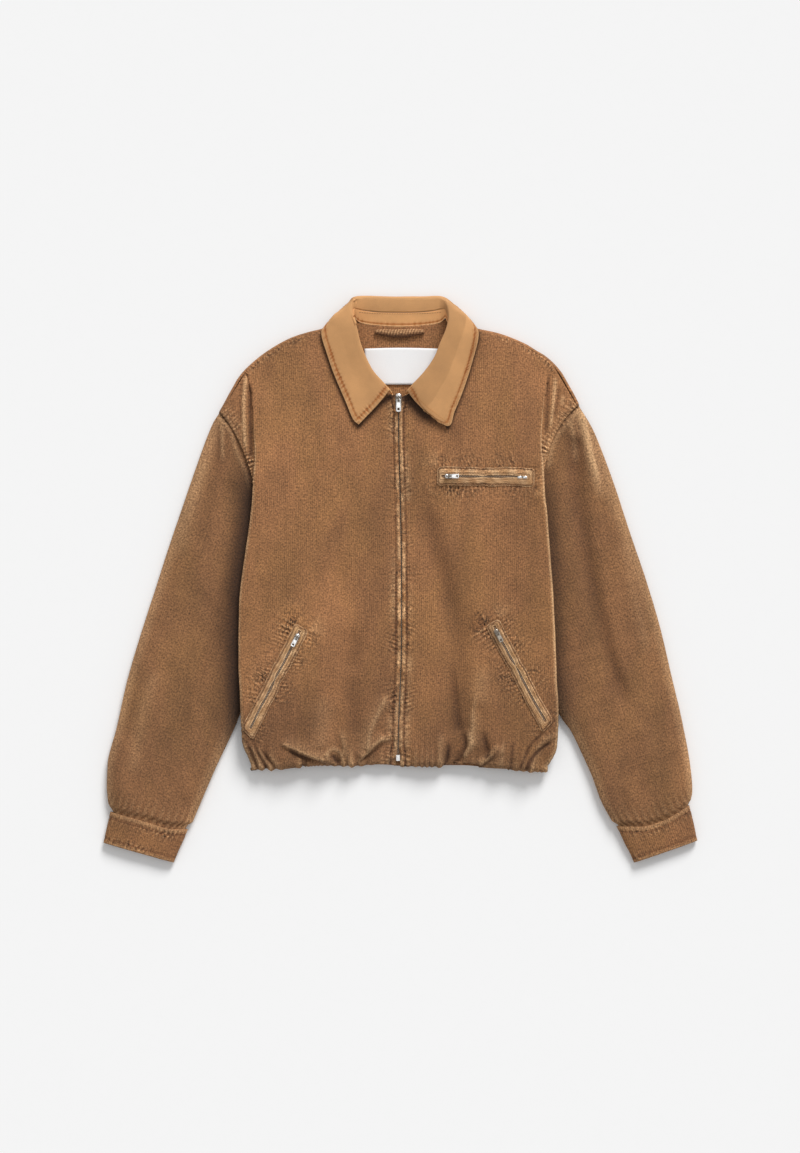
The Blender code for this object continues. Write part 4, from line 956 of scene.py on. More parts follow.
@dataclass(frozen=True)
class Side:
    """Outlines of one half of the jacket, by their distance out and their height on the table."""

    name: str
    sign: int
    lip: Line
    edge: Line
    shoulder: Line
    hem: Line
    sleeve_out: Line
    sleeve_in: Line
    cuff_in: Line
    cuff_end: Line

    def placed(self, line: Line) -> Line:
        """One of its lines, given by distances out, on the table."""
        return tuple((self.sign * out, y) for out, y in line)

    def shoulder_fold(self, out: Field) -> tuple[Field, Field, Field]:
        """Height of the shoulder fold's inner line at a distance out, and the direction off the fold."""
        at = np.clip(out, NECK_OUT, self.shoulder[-1][0])
        slope = (y_at(self.shoulder, at + 1) - y_at(self.shoulder, at - 1)) / 2
        slope = np.where(at < NECK_OUT + 1, slope * 2, slope)
        length = np.sqrt(1 + slope * slope)
        return y_at(self.shoulder, at) - SHOULDER_ROLL * length, -slope / length, 1 / length

    def zip_out(self, y: Field) -> Field:
        """How far out the front's edge is: it opens a little for the slider and for the stop."""
        at_ends = ease(224, 237, y) + 1 - ease(-237, -226, y)
        return ZIP_HALF + (ZIP_ENDS_HALF - ZIP_HALF) * at_ends + self.sign * out_at(ZIP_LINE, y)

    def top_line(self, out: Field) -> Field:
        """Where the flat of the front ends: under the neckline or under the shoulder's fold."""
        inner, _, _ = self.shoulder_fold(out)
        neck = y_at(NECK_FRONT, np.clip(out, 0, NECK_OUT)) - 3
        blend = ease(NECK_OUT - 2, NECK_OUT + 4, out)
        return neck * (1 - blend) + inner * blend

    def front_top(self, share: Field, y: Field) -> tuple[Field, Field]:
        """The front's upper layer at a share of the way from the zip to the side fold."""
        start = self.zip_out(y)
        out = start + share * (out_at(self.lip, y) - roll_radius(y) - start)
        below = self.top_line(out) - y
        low = level(Layer.ZIP, y)
        middle = level(Layer.MIDDLE, y)
        high = level(Layer.LIP, y)
        z = low + (4 * middle - 3 * low - high) * share + (2 * low + 2 * high - 4 * middle) * share**2
        settle = 1 - ease(0, 55, below)
        z = z * (1 - settle) + TOP_Z * settle
        return out, z + folded(FRONT_FOLDS, self.sign * out, y)

    def height(self, x: Field, y: Field) -> Field:
        """Height of the front's upper face over a point of the table."""
        out = self.sign * np.asarray(x, float)
        y = np.asarray(y, float)
        radius = roll_radius(y)
        start = self.zip_out(y)
        reach = out_at(self.lip, y) - radius
        share = np.clip((out - start) / (reach - start), 0, 1)
        _, z = self.front_top(share, y)
        past = np.clip(out - reach, 0, radius)
        return z - radius + np.sqrt(radius**2 - past**2)

    def frame_at(self, x: float, y: float, run: tuple[float, float], lift: float) -> Matrix:
        """A frame on the front in metres: its Y axis runs against `run`, its Z axis points off the cloth."""
        dx, dy = run
        near = [Vector((x + a, y + b, float(self.height(x + a, y + b))))
                for a, b in ((-4 * dx, -4 * dy), (4 * dx, 4 * dy), (-4 * dy, 4 * dx), (4 * dy, -4 * dx))]
        forward = (near[0] - near[1]).normalized()
        normal = (near[2] - near[3]).normalized().cross(forward).normalized()
        turn = Matrix((forward.cross(normal), forward, normal)).transposed()
        here = Vector((x, y, float(self.height(x, y)))) + normal * lift
        return Matrix.Translation(here * MM) @ turn.to_4x4()

    def over_shoulder(self, out: Field, y: Field, z: Field, angle: Field, over: Field) -> Field:
        """Places of a column. Past its top line it goes over the shoulder's fold, to an angle round it."""
        _, dir_out, dir_y = self.shoulder_fold(out)
        on = ease(NECK_OUT - 2, NECK_OUT + 6, out)
        reach = SHOULDER_ROLL * np.cos(angle)
        round_z = SHOULDER_ROLL * (1 + np.sin(angle))
        moved = np.stack([out + on * reach * dir_out, y + on * reach * dir_y + (1 - on) * (3 * over),
                          z + on * (round_z - z)], axis=-1)
        return np.where((over > 0)[:, None], moved, np.stack([out, y, z], axis=-1))

    @property
    def tip_out(self) -> float:
        """How far out the body's edge ends on the shoulder."""
        return self.edge[-1][0] - 5.0

    def edge_climb(self, y: Field) -> Field:
        """The seam's edge climbs with the side fold until the armhole seam shows, and slower from there."""
        lip_top = self.top_line(np.array(LIP_TOP))
        tip_top = self.top_line(np.array(self.tip_out))
        rate = (tip_top - SEAM_SHOWS_Y) / (lip_top - SEAM_SHOWS_Y)
        return np.where(y < SEAM_SHOWS_Y, y, SEAM_SHOWS_Y + (y - SEAM_SHOWS_Y) * rate)


RIGHT = Side(
    name="right",
    sign=-1,
    lip=((194, -262), (204, -246), (214, -219), (216, -165), (219, -105), (218, -37), (209, 39),
         (201, 98), (199, 132), (197, 175), (199, 205), (200, 250), (LIP_TOP, 287), (LIP_TOP, 370)),
    edge=((183, -262), (193, -239), (203, -205), (205, -170), (200, -137), (187, -97), (174, -56),
          (169, -22), (180, 26), (188, 67), (196, 112), (201, 140), (209, 165), (226, 201), (245, 228)),
    shoulder=((NECK_OUT, 357), (106, 340), (124, 335.5), (147, 328), (178, 311), (199, 295), (215, 279),
              (226, 262), (235, 246), (245, 228)),
    hem=((0, -254), (27, -252), (68, -254), (122, -253), (163, -256), (194, -258), (215, -259)),
    sleeve_out=((245, 228), (253, 214), (262, 189), (286, 124), (309, 58), (330, -7), (351, -72),
                (370, -137), (385, -203), (397, -252), (398, -284), (394, -317)),
    sleeve_in=((169, -22), (175, -56), (187, -97), (203, -140), (213, -170), (222, -196), (234, -222),
               (250, -256), (271, -305), (284, -336)),
    cuff_in=((393, -316), (343, -330), (311, -339), (288, -340)),
    cuff_end=((403, -358), (343, -375), (307, -385)),
)
LEFT = Side(
    name="left",
    sign=1,
    lip=((192, -262), (201, -250), (213, -225), (215, -185), (212, -137), (209, -42), (205, 16),
         (200, 84), (196, 117), (194, 155), (192, 189), (195, 237), (201, 271), (LIP_TOP, 290),
         (LIP_TOP, 370)),
    edge=((183, -262), (194, -241), (202, -208), (203, -175), (199, -151), (189, -116), (178, -76),
          (169, -22), (177, 26), (185, 80), (192, 125), (198, 160), (206, 186), (224, 218), (243, 238)),
    shoulder=((NECK_OUT, 357), (106, 340), (120, 337), (133, 334), (169, 320), (184, 311), (197, 303),
              (214, 287), (230, 262), (243, 238)),
    hem=((0, -254), (41, -253), (82, -253), (122, -256), (163, -258), (197, -260), (215, -261)),
    sleeve_out=((243, 238), (256, 214), (267, 189), (292, 124), (314, 58), (336, -7), (355, -72),
                (370, -137), (385, -203), (394, -252), (397, -284), (394, -309)),
    sleeve_in=((169, -22), (177, -76), (188, -116), (202, -151), (212, -175), (220, -190), (231, -205),
               (246, -235), (261, -268), (273, -301), (291, -334)),
    cuff_in=((393, -307), (354, -329), (326, -336), (294, -336)),
    cuff_end=((404, -355), (362, -370), (318, -385)),
)
SIDES = (RIGHT, LEFT)

# Deepest creases of the frame's own fronts: x0, y0, x1, y1, width, height
FRONT_FOLDS = (
    (-188, -264, -205, -232, 7, -3.5), (-168, -264, -186, -228, 7, -3), (-146, -262, -160, -222, 11, 3.5),
    (-132, -264, -112, -240, 8, -3.5), (-102, -262, -98, -226, 12, 4), (-84, -264, -80, -240, 7, -3),
    (-66, -262, -58, -220, 10, 3), (-47, -264, -40, -222, 7, -3.5), (-28, -262, -12, -222, 9, 3),
    (38, -262, 34, -226, 12, 3), (64, -264, 62, -230, 7, -3), (86, -262, 97, -202, 10, 3.5),
    (76, -264, 88, -190, 8, -3), (112, -264, 122, -214, 8, -3.5), (132, -262, 138, -226, 9, 3),
    (152, -264, 156, -240, 6, -2.5), (170, -262, 174, -236, 8, 2.5), (186, -264, 204, -216, 8, -3),
    (34, 100, 82, -150, 16, -2.2), (96, -120, 97, -200, 14, 1.6), (-78, 0, -66, -160, 18, -2),
)
SLEEVE_FOLDS = {
    "right": ((-262, 168, -300, 10, 12, 1.8), (-232, 120, -276, -60, 13, -2.6),
              (-236, -40, -300, -200, 15, -1.6), (-330, -200, -350, -300, 12, 1.8),
              (-300, -318, -292, -286, 8, -2)),
    "left": ((244, 222, 266, 120, 9, 2.2), (236, 178, 262, 20, 12, -3.2), (262, 20, 292, -150, 14, -2.4),
             (228, 190, 232, 150, 7, 1.8), (330, -210, 352, -300, 13, 1.8), (306, -320, 300, -280, 8, -2)),
}


def folded(folds: Sequence[tuple[float, ...]], x: Field, y: Field) -> Field:
    """How far the frame's own creases lift (or sink) the cloth over a point of the table."""
    lift = np.zeros_like(np.asarray(x, float))
    for x0, y0, x1, y1, width, height in folds:
        dx = x1 - x0
        dy = y1 - y0
        share = ((x - x0) * dx + (y - y0) * dy) / (dx * dx + dy * dy)
        near = np.clip(share, 0, 1)
        away = np.hypot(x - x0 - near * dx, y - y0 - near * dy)
        lift = lift + height * (1 - ease(0.45, 1.0, share)) * bell(away, width)
    return lift


def roll_radius(y: Field) -> Field:
    """Radius of the fold down the side of the body."""
    return np.clip((level(Layer.LIP, y) - level(Layer.UNDER, y)) / 2, 1.2, None)


HEM_ROWS = 0.06  # share of the body's rows that turn under at the hem
UP_ROWS = 0.86
OVER_ROWS = 0.08
TOP_ROWS = 0.92


def body_rows(rows: Field) -> tuple[Field, Field, Field]:
    """Splits rows of 0 to 1 into the hem's turn, the way up the body and the way over the shoulder."""
    turn = HEM_TURN + (math.pi / 2 - HEM_TURN) * np.clip(rows / HEM_ROWS, 0, 1)
    return turn, np.clip((rows - HEM_ROWS) / UP_ROWS, 0, 1), np.clip((rows - TOP_ROWS) / OVER_ROWS, 0, 1)


@dataclass(frozen=True)
class FrontForm:
    """The outer face of one front, from the zip over the side fold to the side and armhole seam."""

    side: Side

    def grid(self, columns: Field, rows: Field) -> Field:
        """The form's places at these columns and rows."""
        placed = np.empty((len(columns), len(rows), 3))
        rim = FLAT_SHARE - 0.02
        guides = np.array([
            self.top_column(rim / FLAT_SHARE, rows),
            self.top_column(1.0, rows),
            *(self.roll_column(math.radians(down), rows) for down in (50, 90)),
            *(self.under_column(share, rows) for share in (0.0, 0.5, 1.0)),
        ])
        stops = [rim, FLAT_SHARE, 0.85, 0.88, 0.92, 0.96, 1.0]
        for i, share in enumerate(columns):
            if share <= FLAT_SHARE:
                placed[i] = self.top_column(share / FLAT_SHARE, rows)
            else:
                placed[i] = through(stops, guides, np.full(len(rows), share))
        placed[..., 0] *= self.side.sign
        return placed

    def line(self, out_of: Callable, top_out: float, height_of: Callable, rows: Field) -> Field:
        """One column: its distance out and height as functions of y, climbing to the top line."""
        _, climb, _ = body_rows(rows)
        hem = y_at(self.side.hem, np.array(top_out))
        high = self.side.top_line(np.array(top_out))
        y = hem + HEM_ROLL + climb * (high - hem - HEM_ROLL)
        return self.wrapped(out_of(y), y, height_of(y), rows, hem, HEM_Z)

    def wrapped(self, out: Field, y: Field, z: Field, rows: Field, hem: Field, middle_z: float) -> Field:
        """Turns a column under at the hem, round a line middle_z high, and over at the shoulder."""
        turn, climb, over = body_rows(rows)
        squeeze = (1 + np.sin(turn)) / 2
        y = np.where(climb > 0, y, hem + HEM_ROLL * (1 - np.cos(turn)))
        z = np.where(climb > 0, z, middle_z + (z - middle_z) * squeeze)
        angle = math.pi / 2 + (SHOULDER_SEAM - math.pi / 2) * over
        return self.side.over_shoulder(out, y, z, angle, over)

    def top_column(self, share: float, rows: Field) -> Field:
        """A column of the upper layer at a share of the way to the side fold."""
        start = float(self.side.zip_out(np.array(300.0)))
        return self.line(lambda y: self.side.front_top(share, y)[0],
                         start + share * (LIP_TOP - 1.2 - start),
                         lambda y: self.side.front_top(share, y)[1], rows)

    def roll_column(self, down: float, rows: Field) -> Field:
        """A column at an angle round the side fold."""
        inset = 1 - math.sin(down)
        return self.line(lambda y: out_at(self.side.lip, y) - roll_radius(y) * inset,
                         LIP_TOP - 1.2 * inset,
                         lambda y: self.side.front_top(np.ones_like(y), y)[1]
                         - roll_radius(y) * (1 - math.cos(down)), rows)

    def under_column(self, share: float, rows: Field) -> Field:
        """A column of the layer under the fold. share 0 is right under the lip and 1 at the seam."""
        side = self.side
        _, climb, _ = body_rows(rows)
        low = y_at(side.hem, np.array(HEM_OUT)) + HEM_ROLL
        high = side.top_line(np.array(LIP_TOP))
        lip_y = low + climb * (high - low)
        edge_y = side.edge_climb(lip_y)
        y = lip_y + share * (edge_y - lip_y)
        hidden = 1 - ease(SEAM_SHOWS_Y - 40, SEAM_SHOWS_Y + 4, lip_y)
        below = out_at(side.lip, lip_y) + 0.8 - hidden * (roll_radius(lip_y) + 0.8)
        out = below + share * (out_at(side.edge, edge_y) - below)
        z = level(Layer.UNDER, lip_y) * (1 - share) + level(Layer.EDGE, edge_y) * share
        z = z + 2.5 * (1 - hidden) * (1 - share) * ease(280, 200, lip_y)
        return self.wrapped(out, y, z, rows, y_at(side.hem, out), HEM_Z - 1.2)


@dataclass(frozen=True)
class BackForm:
    """The outer face of the back: flat on the table, up to the side seams and over the shoulders."""

    def grid(self, columns: Field, rows: Field) -> Field:
        """The form's places at these columns and rows."""
        placed = np.empty((len(columns), len(rows), 3))
        for i, share in enumerate(columns):
            side = LEFT if share >= 0 else RIGHT
            placed[i] = self.column(side, abs(share), rows)
            placed[i, :, 0] *= side.sign
        return placed

    def column(self, side: Side, share: float, rows: Field) -> Field:
        """One column at a share of the way from the centre to a side."""
        _, climb, over = body_rows(rows)
        angle = -math.pi / 2 + (SHOULDER_SEAM + math.pi / 2 - SEAM_GAP / SHOULDER_ROLL) * over
        top_out = share * side.tip_out
        edge_low = y_at(side.hem, np.array(HEM_OUT)) + HEM_ROLL
        lip_y = edge_low + climb * (side.top_line(np.array(LIP_TOP)) - edge_low)
        tip_y = side.top_line(np.array(side.tip_out))
        warped = (side.edge_climb(lip_y) - edge_low) / (tip_y - edge_low)
        climbed = climb + share * (warped - climb)
        neck = y_at(NECK_BACK, np.clip(top_out, 0, NECK_OUT)) - 3
        inner, _, _ = side.shoulder_fold(np.array(top_out))
        blend = ease(NECK_OUT - 2, NECK_OUT + 4, np.array(top_out))
        high = neck * (1 - blend) + inner * blend
        low = y_at(side.hem, np.array(min(top_out, HEM_OUT))) + HEM_ROLL
        y = low + climbed * (high - low)
        out = share * np.minimum(out_at(side.edge, y) - SEAM_GAP, side.tip_out)
        seam_z = level(Layer.UNDER, y) * (1 - ease(-24, -8, y))
        rise = np.clip((share - 0.9) / 0.1, 0, 1)
        z = seam_z * ease(0.0, 1.15, rise) / ease(0.0, 1.15, 1.0)
        y = np.where(climb > 0, y, y_at(side.hem, out) + HEM_ROLL * np.clip(rows / HEM_ROWS, 0, 1))
        return side.over_shoulder(out, y, z, angle, over)


# Along a sleeve: its height and how high its underside lies
SLEEVE_RINGS = ((0.0, 11.2, 2.5), (0.04, 11.2, 2.5), (0.09, 13.0, 0.9), (0.14, 14.0, 0.0), (0.6, 14.2, 0.0),
                (0.85, 16.0, 0.0), (0.95, 15.0, 0.0), (0.968, 9.4, 2.4), (1.0, 9.4, 2.4))
SLEEVE_PUFF = 3.0
SLEEVE_POWERS = (5, 14)  # how square a tube's section is above and below
CUFF_POWERS = (8, 20)
CUFF_HEIGHT = 14.0
CUFF_END_HEIGHT = 11.0


def tube_section(around: Field, top_power: float, low_power: float) -> tuple[Field, Field]:
    """Places round a flattened tube: across 1 is its inner fold and -1 its outer one, and up is -1 to 1."""
    around = np.mod(around, 1.0)
    upper = around <= 0.5
    across = np.sin(np.where(upper, 1 - 4 * around, 4 * around - 3) * math.pi / 2)
    power = np.where(upper, top_power, low_power)
    up = np.sqrt(np.clip(1 - np.abs(across) ** power, 0, 1))
    return across, np.where(upper, up, -up)


@dataclass(frozen=True)
class SleeveForm:
    """The outer face of a sleeve, a flattened tube from inside the armhole to inside the cuff."""

    side: Side
    in_armhole: float = 0.04  # share of its rows inside the armhole
    clear: float = 0.12  # and from where it is free of it
    at_cuff: float = 0.95
    in_cuff: float = 0.968
    inside: float = 3.5  # how far it reaches into the armhole
    proud: float = 1.5  # and how far it stands out below it

    def grid(self, columns: Field, rows: Field) -> Field:
        """The form's places at these columns and rows."""
        side = self.side
        around, rows = spread(columns, rows)
        across, up = tube_section(around, *SLEEVE_POWERS)
        nest_top = 1 - ease(self.in_armhole, self.clear, rows)
        nest_end = ease(self.at_cuff, self.in_cuff, rows)
        outermost = 0.009 * nest_top + 0.05 * nest_end
        innermost = 1 - 0.07 * nest_top - 0.05 * nest_end
        share = outermost + (innermost - outermost) * (1 + across) / 2
        travel = np.clip((rows - self.in_armhole) / 0.93, 0, 1)
        outer, inner = along(side.sleeve_out, travel), along(side.sleeve_in, travel)
        line = outer + share * (inner - outer)
        arm = tuple(p for p in side.edge if p[1] >= UNDERARM_Y)[::-1]
        for course, much in ((arm, 1 - ease(0, 0.45, travel)), (side.cuff_in, ease(0.75, 1.0, travel))):
            first, last = (np.array(end, float)[:, None, None] for end in (course[0], course[-1]))
            line += much * (along(course, share) - first - share * (last - first))
        outward = np.array([arm[0][1] - arm[-1][1], arm[-1][0] - arm[0][0]])
        outward = outward / np.linalg.norm(outward)
        out_of = ease(0.0, self.in_armhole, rows)
        step = self.proud * out_of - self.inside * (1 - out_of)
        line += step * (1 - ease(0.1, 0.3, rows)) * outward[:, None, None]
        line += 0.09 * ease(0.96, 1.0, rows) * (along(side.cuff_end, share) - line)
        places, heights, lows = zip(*SLEEVE_RINGS)
        puff = SLEEVE_PUFF * (1 - ease(0.45, 0.8, share)) * ease(0.08, 0.3, rows)
        crease = folded(SLEEVE_FOLDS[side.name], side.sign * line[0], line[1])
        lift = (puff + crease) * (1 - ease(0.9, 0.97, rows)) * (1 - nest_top)
        height = smooth(places, heights, rows)
        z = smooth(places, lows, rows) + height * (up + 1) / 2 + lift * np.clip(up, 0, 1)
        return np.stack([side.sign * line[0], line[1], z], axis=-1)


@dataclass(frozen=True)
class CuffForm:
    """The outer face of a cuff: a flattened band that laps over the sleeve's end."""

    side: Side

    def grid(self, columns: Field, rows: Field) -> Field:
        """The form's places at these columns and rows."""
        around, rows = spread(columns, rows)
        across, up = tube_section(around, *CUFF_POWERS)
        top, end = (along(line, (1 + across) / 2) for line in (self.side.cuff_in, self.side.cuff_end))
        a, y = top + rows * (end - top)
        height = CUFF_HEIGHT + rows * (CUFF_END_HEIGHT - CUFF_HEIGHT)
        return np.stack([self.side.sign * a, y, height * (up + 1) / 2], axis=-1)


# The collar from its front end to the centre of the back: neck seam, roll, turn and outer edge
COLLAR = {"right": (
    (-9, 250, 15.6, -13, 256, 21, -31, 235, 19.4, -56, 209, 18.2),
    (-20, 258, 15.6, -24, 268, 22, -43, 242, 20, -64, 217, 18),
    (-33, 272, 15.6, -37, 283, 23, -54, 261, 20.5, -74, 241, 17.8),
    (-47, 290, 15.8, -47, 303, 23.5, -64, 282, 20.8, -84, 264, 17.6),
    (-57, 309, 15.8, -54, 322, 24, -72, 303, 20.8, -92, 284, 17.4),
    (-64, 327, 15.8, -58, 341, 24, -78, 323, 20.6, -99, 305, 17.2),
    (-64, 344, 14.8, -63, 356, 23, -86, 342, 20.4, -106, 328, 18.2),
    (-63, 352, 11.8, -65, 369, 20, -89, 357, 18, -104, 341, 13.5),
    (-61, 354, 7.8, -65, 377, 17, -85, 362, 8.5, -86, 359, 2.4),
    (-57, 350, 4.6, -62, 379, 13.5, -72, 374, 7, -71, 367, 2.2),
    (-50, 347, 3.4, -56, 381, 11, -61, 384, 6, -57, 366, 2),
    (-28, 344, 3, -28, 380, 10, -28, 384, 5.4, -28, 364, 2),
), "left": (
    (7, 250, 15.6, 9, 255, 21, 20, 241, 19.4, 34, 227, 18.4),
    (14, 255, 15.6, 18, 265, 22, 38, 235, 20, 65, 207, 18),
    (30, 270, 15.6, 33, 281, 23, 52, 255, 20.5, 74, 227, 17.8),
    (45, 288, 15.8, 46, 300, 23.5, 64, 276, 20.8, 84, 251, 17.6),
    (57, 307, 15.8, 54, 320, 24, 73, 299, 20.8, 92, 274, 17.4),
    (64, 325, 15.8, 62, 338, 24, 80, 319, 20.6, 98, 294, 17.2),
    (65, 343, 14.8, 66, 354, 23, 87, 339, 20.4, 106, 325, 18.2),
    (63, 351, 11.8, 65, 367, 20, 90, 356, 18, 104, 341, 13.5),
    (61, 354, 7.8, 62, 376, 17, 88, 361, 8.5, 88, 358, 2.4),
    (57, 350, 4.6, 58, 379, 13.5, 74, 373, 7, 73, 366, 2.2),
    (50, 347, 3.4, 52, 381, 11, 57, 384, 6, 56, 366, 2),
    (28, 344, 3, 28, 380, 10, 28, 384, 5.4, 28, 364, 2),
)}
COLLAR_BACK = (0, 343, 3, 0, 380, 10, 0, 384, 5.4, 0, 364, 2)
COLLAR_STOPS = (0.0, 0.2, 0.35, 0.5, 1.0)
STAND_SHARE = 0.1
STAND_GAP = 0.0015
COLLAR_CRISP = 0.6


def leaf_edge(side: Side) -> Line:
    """The outer edge of a collar leaf, from its tip up to the shoulder."""
    return tuple(row[9:11] for row in COLLAR[side.name][:8])


@dataclass(frozen=True)
class CollarForm:
    """The outer face of the collar between two shares of the way from the neck seam to its edge."""

    first: float
    last: float

    def grid(self, columns: Field, rows: Field) -> Field:
        """The form's places at these columns and rows."""
        table = np.array((*COLLAR["right"], COLLAR_BACK, *COLLAR["left"][::-1]), float).reshape(-1, 4, 3)
        place = columns * (len(table) - 1)
        lines = []
        for corner in range(4):
            line = np.repeat(table[:, corner][:, None, :], len(place), axis=1)
            lines.append(through(range(len(table)), line, place))
        neck, roll, turn, edge = lines
        crest = (roll + turn) / 2
        crest[:, 2] = np.maximum(roll[:, 2], turn[:, 2]) * 0.75 + np.minimum(roll[:, 2], turn[:, 2]) * 0.25
        full = np.array([neck, roll, crest, turn, edge])
        placed = np.empty((len(columns), len(rows), 3))
        for j, row in enumerate(rows):
            share = np.full(len(columns), self.first + (self.last - self.first) * row)
            at = np.interp(share[0], COLLAR_STOPS, range(5))
            low = min(int(at), 3)
            straight = full[low] + (at - low) * (full[low + 1] - full[low])
            curved = through(COLLAR_STOPS, full, share, True)
            placed[:, j] = COLLAR_CRISP * straight + (1 - COLLAR_CRISP) * curved
        return placed


@dataclass(frozen=True)
class FacingForm:
    """The half-moon facing inside the back neck, lying on the back."""

    half: float = 78.0
    depth: float = 112.0
    corners: float = 338.0  # how far up its two corners lie
    under_seam: float = 2.0

    def grid(self, columns: Field, rows: Field) -> Field:
        """The form's places at these columns and rows."""
        columns, rows = spread(columns, rows)
        angle = math.pi * (1 + columns)
        x = self.half * np.cos(angle)
        low = self.corners + self.depth * np.sin(angle)
        high = y_at(NECK_BACK, np.clip(np.abs(x), 0, 63)) + self.under_seam
        return np.stack([x, low + rows * (high - low), np.full_like(x, WALL + GAP + FACING_WALL)], axis=-1)


@dataclass(frozen=True)
class LabelForm:
    """The neck label, lying on the facing and a little curled."""

    left: float = -48.0
    low: float = 263.0
    width: float = 99.0
    height: float = 50.0
    curl: float = 1.2

    def grid(self, columns: Field, rows: Field) -> Field:
        """The form's places at these columns and rows."""
        columns, rows = spread(columns, rows)
        x = self.left + self.width * columns
        y = self.low + self.height * rows + self.curl * np.sin(columns * math.pi)
        z = WALL + 2 * GAP + FACING_WALL + LABEL_WALL + self.curl * (1 - rows) ** 2 * (1 + 0.4 * columns)
        return np.stack([x, y, z], axis=-1)


LOOP_LINE = ((-33.5, 336), (-22, 335), (-8, 333.4), (6, 333.6), (18, 335), (33, 336))


@dataclass(frozen=True)
class LoopForm:
    """The hanger loop: a twisted strip of the corduroy, thickest in its middle and sewn in at both ends."""

    radius: float = 2.7
    swell: float = 3.0
    twist: float = 1.5
    middle_z: float = 6.2

    def grid(self, columns: Field, rows: Field) -> Field:
        """The form's places at these columns and rows."""
        xs, ys = along(LOOP_LINE, rows)
        course = np.stack([np.gradient(xs), np.gradient(ys)])
        course /= np.linalg.norm(course, axis=0)
        run = np.concatenate([[0], np.cumsum(np.hypot(np.diff(xs), np.diff(ys)))])
        angle = math.tau * columns[:, None]
        radius = self.radius * (0.9 + 0.2 * np.abs(np.cos(angle + self.twist * run / 2)))
        beside = (radius + self.swell * np.sin(math.pi * rows) ** 0.8) * np.cos(angle)
        return np.stack([xs - course[1] * beside, ys + course[0] * beside,
                         self.middle_z + radius * np.sin(angle)], axis=-1)


FRAME_RISE = 2.3  # of a pocket's frame over the front, beside its mouth and at its edge
FRAME_EDGE_RISE = 1.0
MOUTH = 1.7
CORNER = 4.5
STRIP_LIFT = 0.4
STRIP_HALF = 5.0
STRIP_WALL = 0.7


@dataclass(frozen=True)
class PocketForm:
    """A slanted or level zip pocket on a front."""

    name: str
    side: Side
    start: tuple[float, float]  # the zip's upper or inner end on the table
    end: tuple[float, float]
    width: float  # from stitched edge to stitched edge
    tips: tuple[float, float]  # how far the frame runs past the zip's end, on its left and on its right
    pinch: float  # share of the zip at which its mouth is drawn together

    @property
    def length(self) -> float:
        """Length of the zip."""
        return math.dist(self.start, self.end)

    @property
    def course(self) -> tuple[float, float]:
        """The zip's direction on the table."""
        return (self.end[0] - self.start[0]) / self.length, (self.end[1] - self.start[1]) / self.length

    def at(self, run: Field, away: Field) -> tuple[Field, Field]:
        """The place at a run along the zip and a distance to its left."""
        dx, dy = self.course
        return self.start[0] + dx * run - dy * away, self.start[1] + dy * run + dx * away

    def corners(self, half: float, start: float, left: float, right: float) -> Field:
        """Corners of an outline round the zip, as runs and distances to the left."""
        return np.array([(-start, half), (self.length + left, half), (self.length + right, -half),
                         (-start, -half), (-start, half)])

    def rounded(self, outline: Field) -> Field:
        """The frame's outline, as runs and distances to the left, with its corners rounded off."""
        half, (left, right) = self.width / 2, self.tips
        far = self.length + right + (left - right) * (outline[..., 1] + half) / self.width
        middle, reach = (far - 2.5) / 2, (far + 2.5) / 2
        run, away = outline[..., 0] - middle, outline[..., 1]
        over_run = np.clip(np.abs(run) - (reach - CORNER), 0, None)
        over_away = np.clip(np.abs(away) - (half - CORNER), 0, None)
        pull = np.minimum(1.0, CORNER / np.maximum(np.hypot(over_run, over_away), 1e-6)) - 1
        return np.stack([outline[..., 0] + np.sign(run) * over_run * pull,
                         away + np.sign(away) * over_away * pull], axis=-1)

    def ring(self, columns: Field, rows: Field) -> Field:
        """The frame round the mouth: columns run round it, rows from the mouth to its stitched edge."""
        columns, rows = spread(columns, rows)
        corner = np.minimum((columns * 4).astype(int), 3)
        part = (columns * 4 - corner)[..., None]
        inner, outer = (c[corner] + part * (c[corner + 1] - c[corner]) for c in (
            self.corners(MOUTH, -3.0, -4.0, -4.0), self.corners(self.width / 2, 2.5, *self.tips)))
        outer = self.rounded(outer)
        run = inner[..., 0] + rows * (outer[..., 0] - inner[..., 0])
        drawn_in = bell(run - self.pinch * self.length, 5.0)
        seed = int(abs(self.start[0]))
        uneven = 0.3 * drift(seed, run + 40 * np.sign(inner[..., 1]), 11)
        mouth = inner[..., 1] * (1 + uneven - 0.75 * drawn_in)
        edge = outer[..., 1] + 0.45 * drift(seed + 1, run, 9) - 0.9 * drawn_in * np.sign(outer[..., 1])
        away = mouth + rows * (edge - mouth) + 0.7 * drift(seed + 2, run, 24)
        x, y = self.at(run, away)
        full = FRAME_RISE + (FRAME_EDGE_RISE - FRAME_RISE) * ease(0.35, 1.0, rows)
        return np.stack([x, y, self.side.height(x, y) + full], axis=-1)

    def strip(self, columns: Field, rows: Field) -> Field:
        """The zip's tape under the mouth."""
        columns, rows = spread(columns, rows)
        run = 3.0 + columns * (self.length - 6.0)
        x, y = self.at(run, STRIP_HALF * (2 * rows - 1))
        return np.stack([x, y, self.side.height(x, y) + (STRIP_LIFT + STRIP_WALL)], axis=-1)


POCKETS = (
    PocketForm("chest", LEFT, (53, 139.5), (176, 138), 25.0, (5.5, 5.5), 0.48),
    PocketForm("pocket_right", RIGHT, (-134, -67), (-204.5, -206), 20.5, (8.0, 1.0), 0.5),
    PocketForm("pocket_left", LEFT, (125.5, -61), (198.5, -197), 20.0, (0.0, 7.0), 0.42),
)


# ---- seams and creases

ZIP_STITCHING = Stitching(0.8, 1.2, 5.4, (17.0, 4.5), 11, 0.6, 0.8)
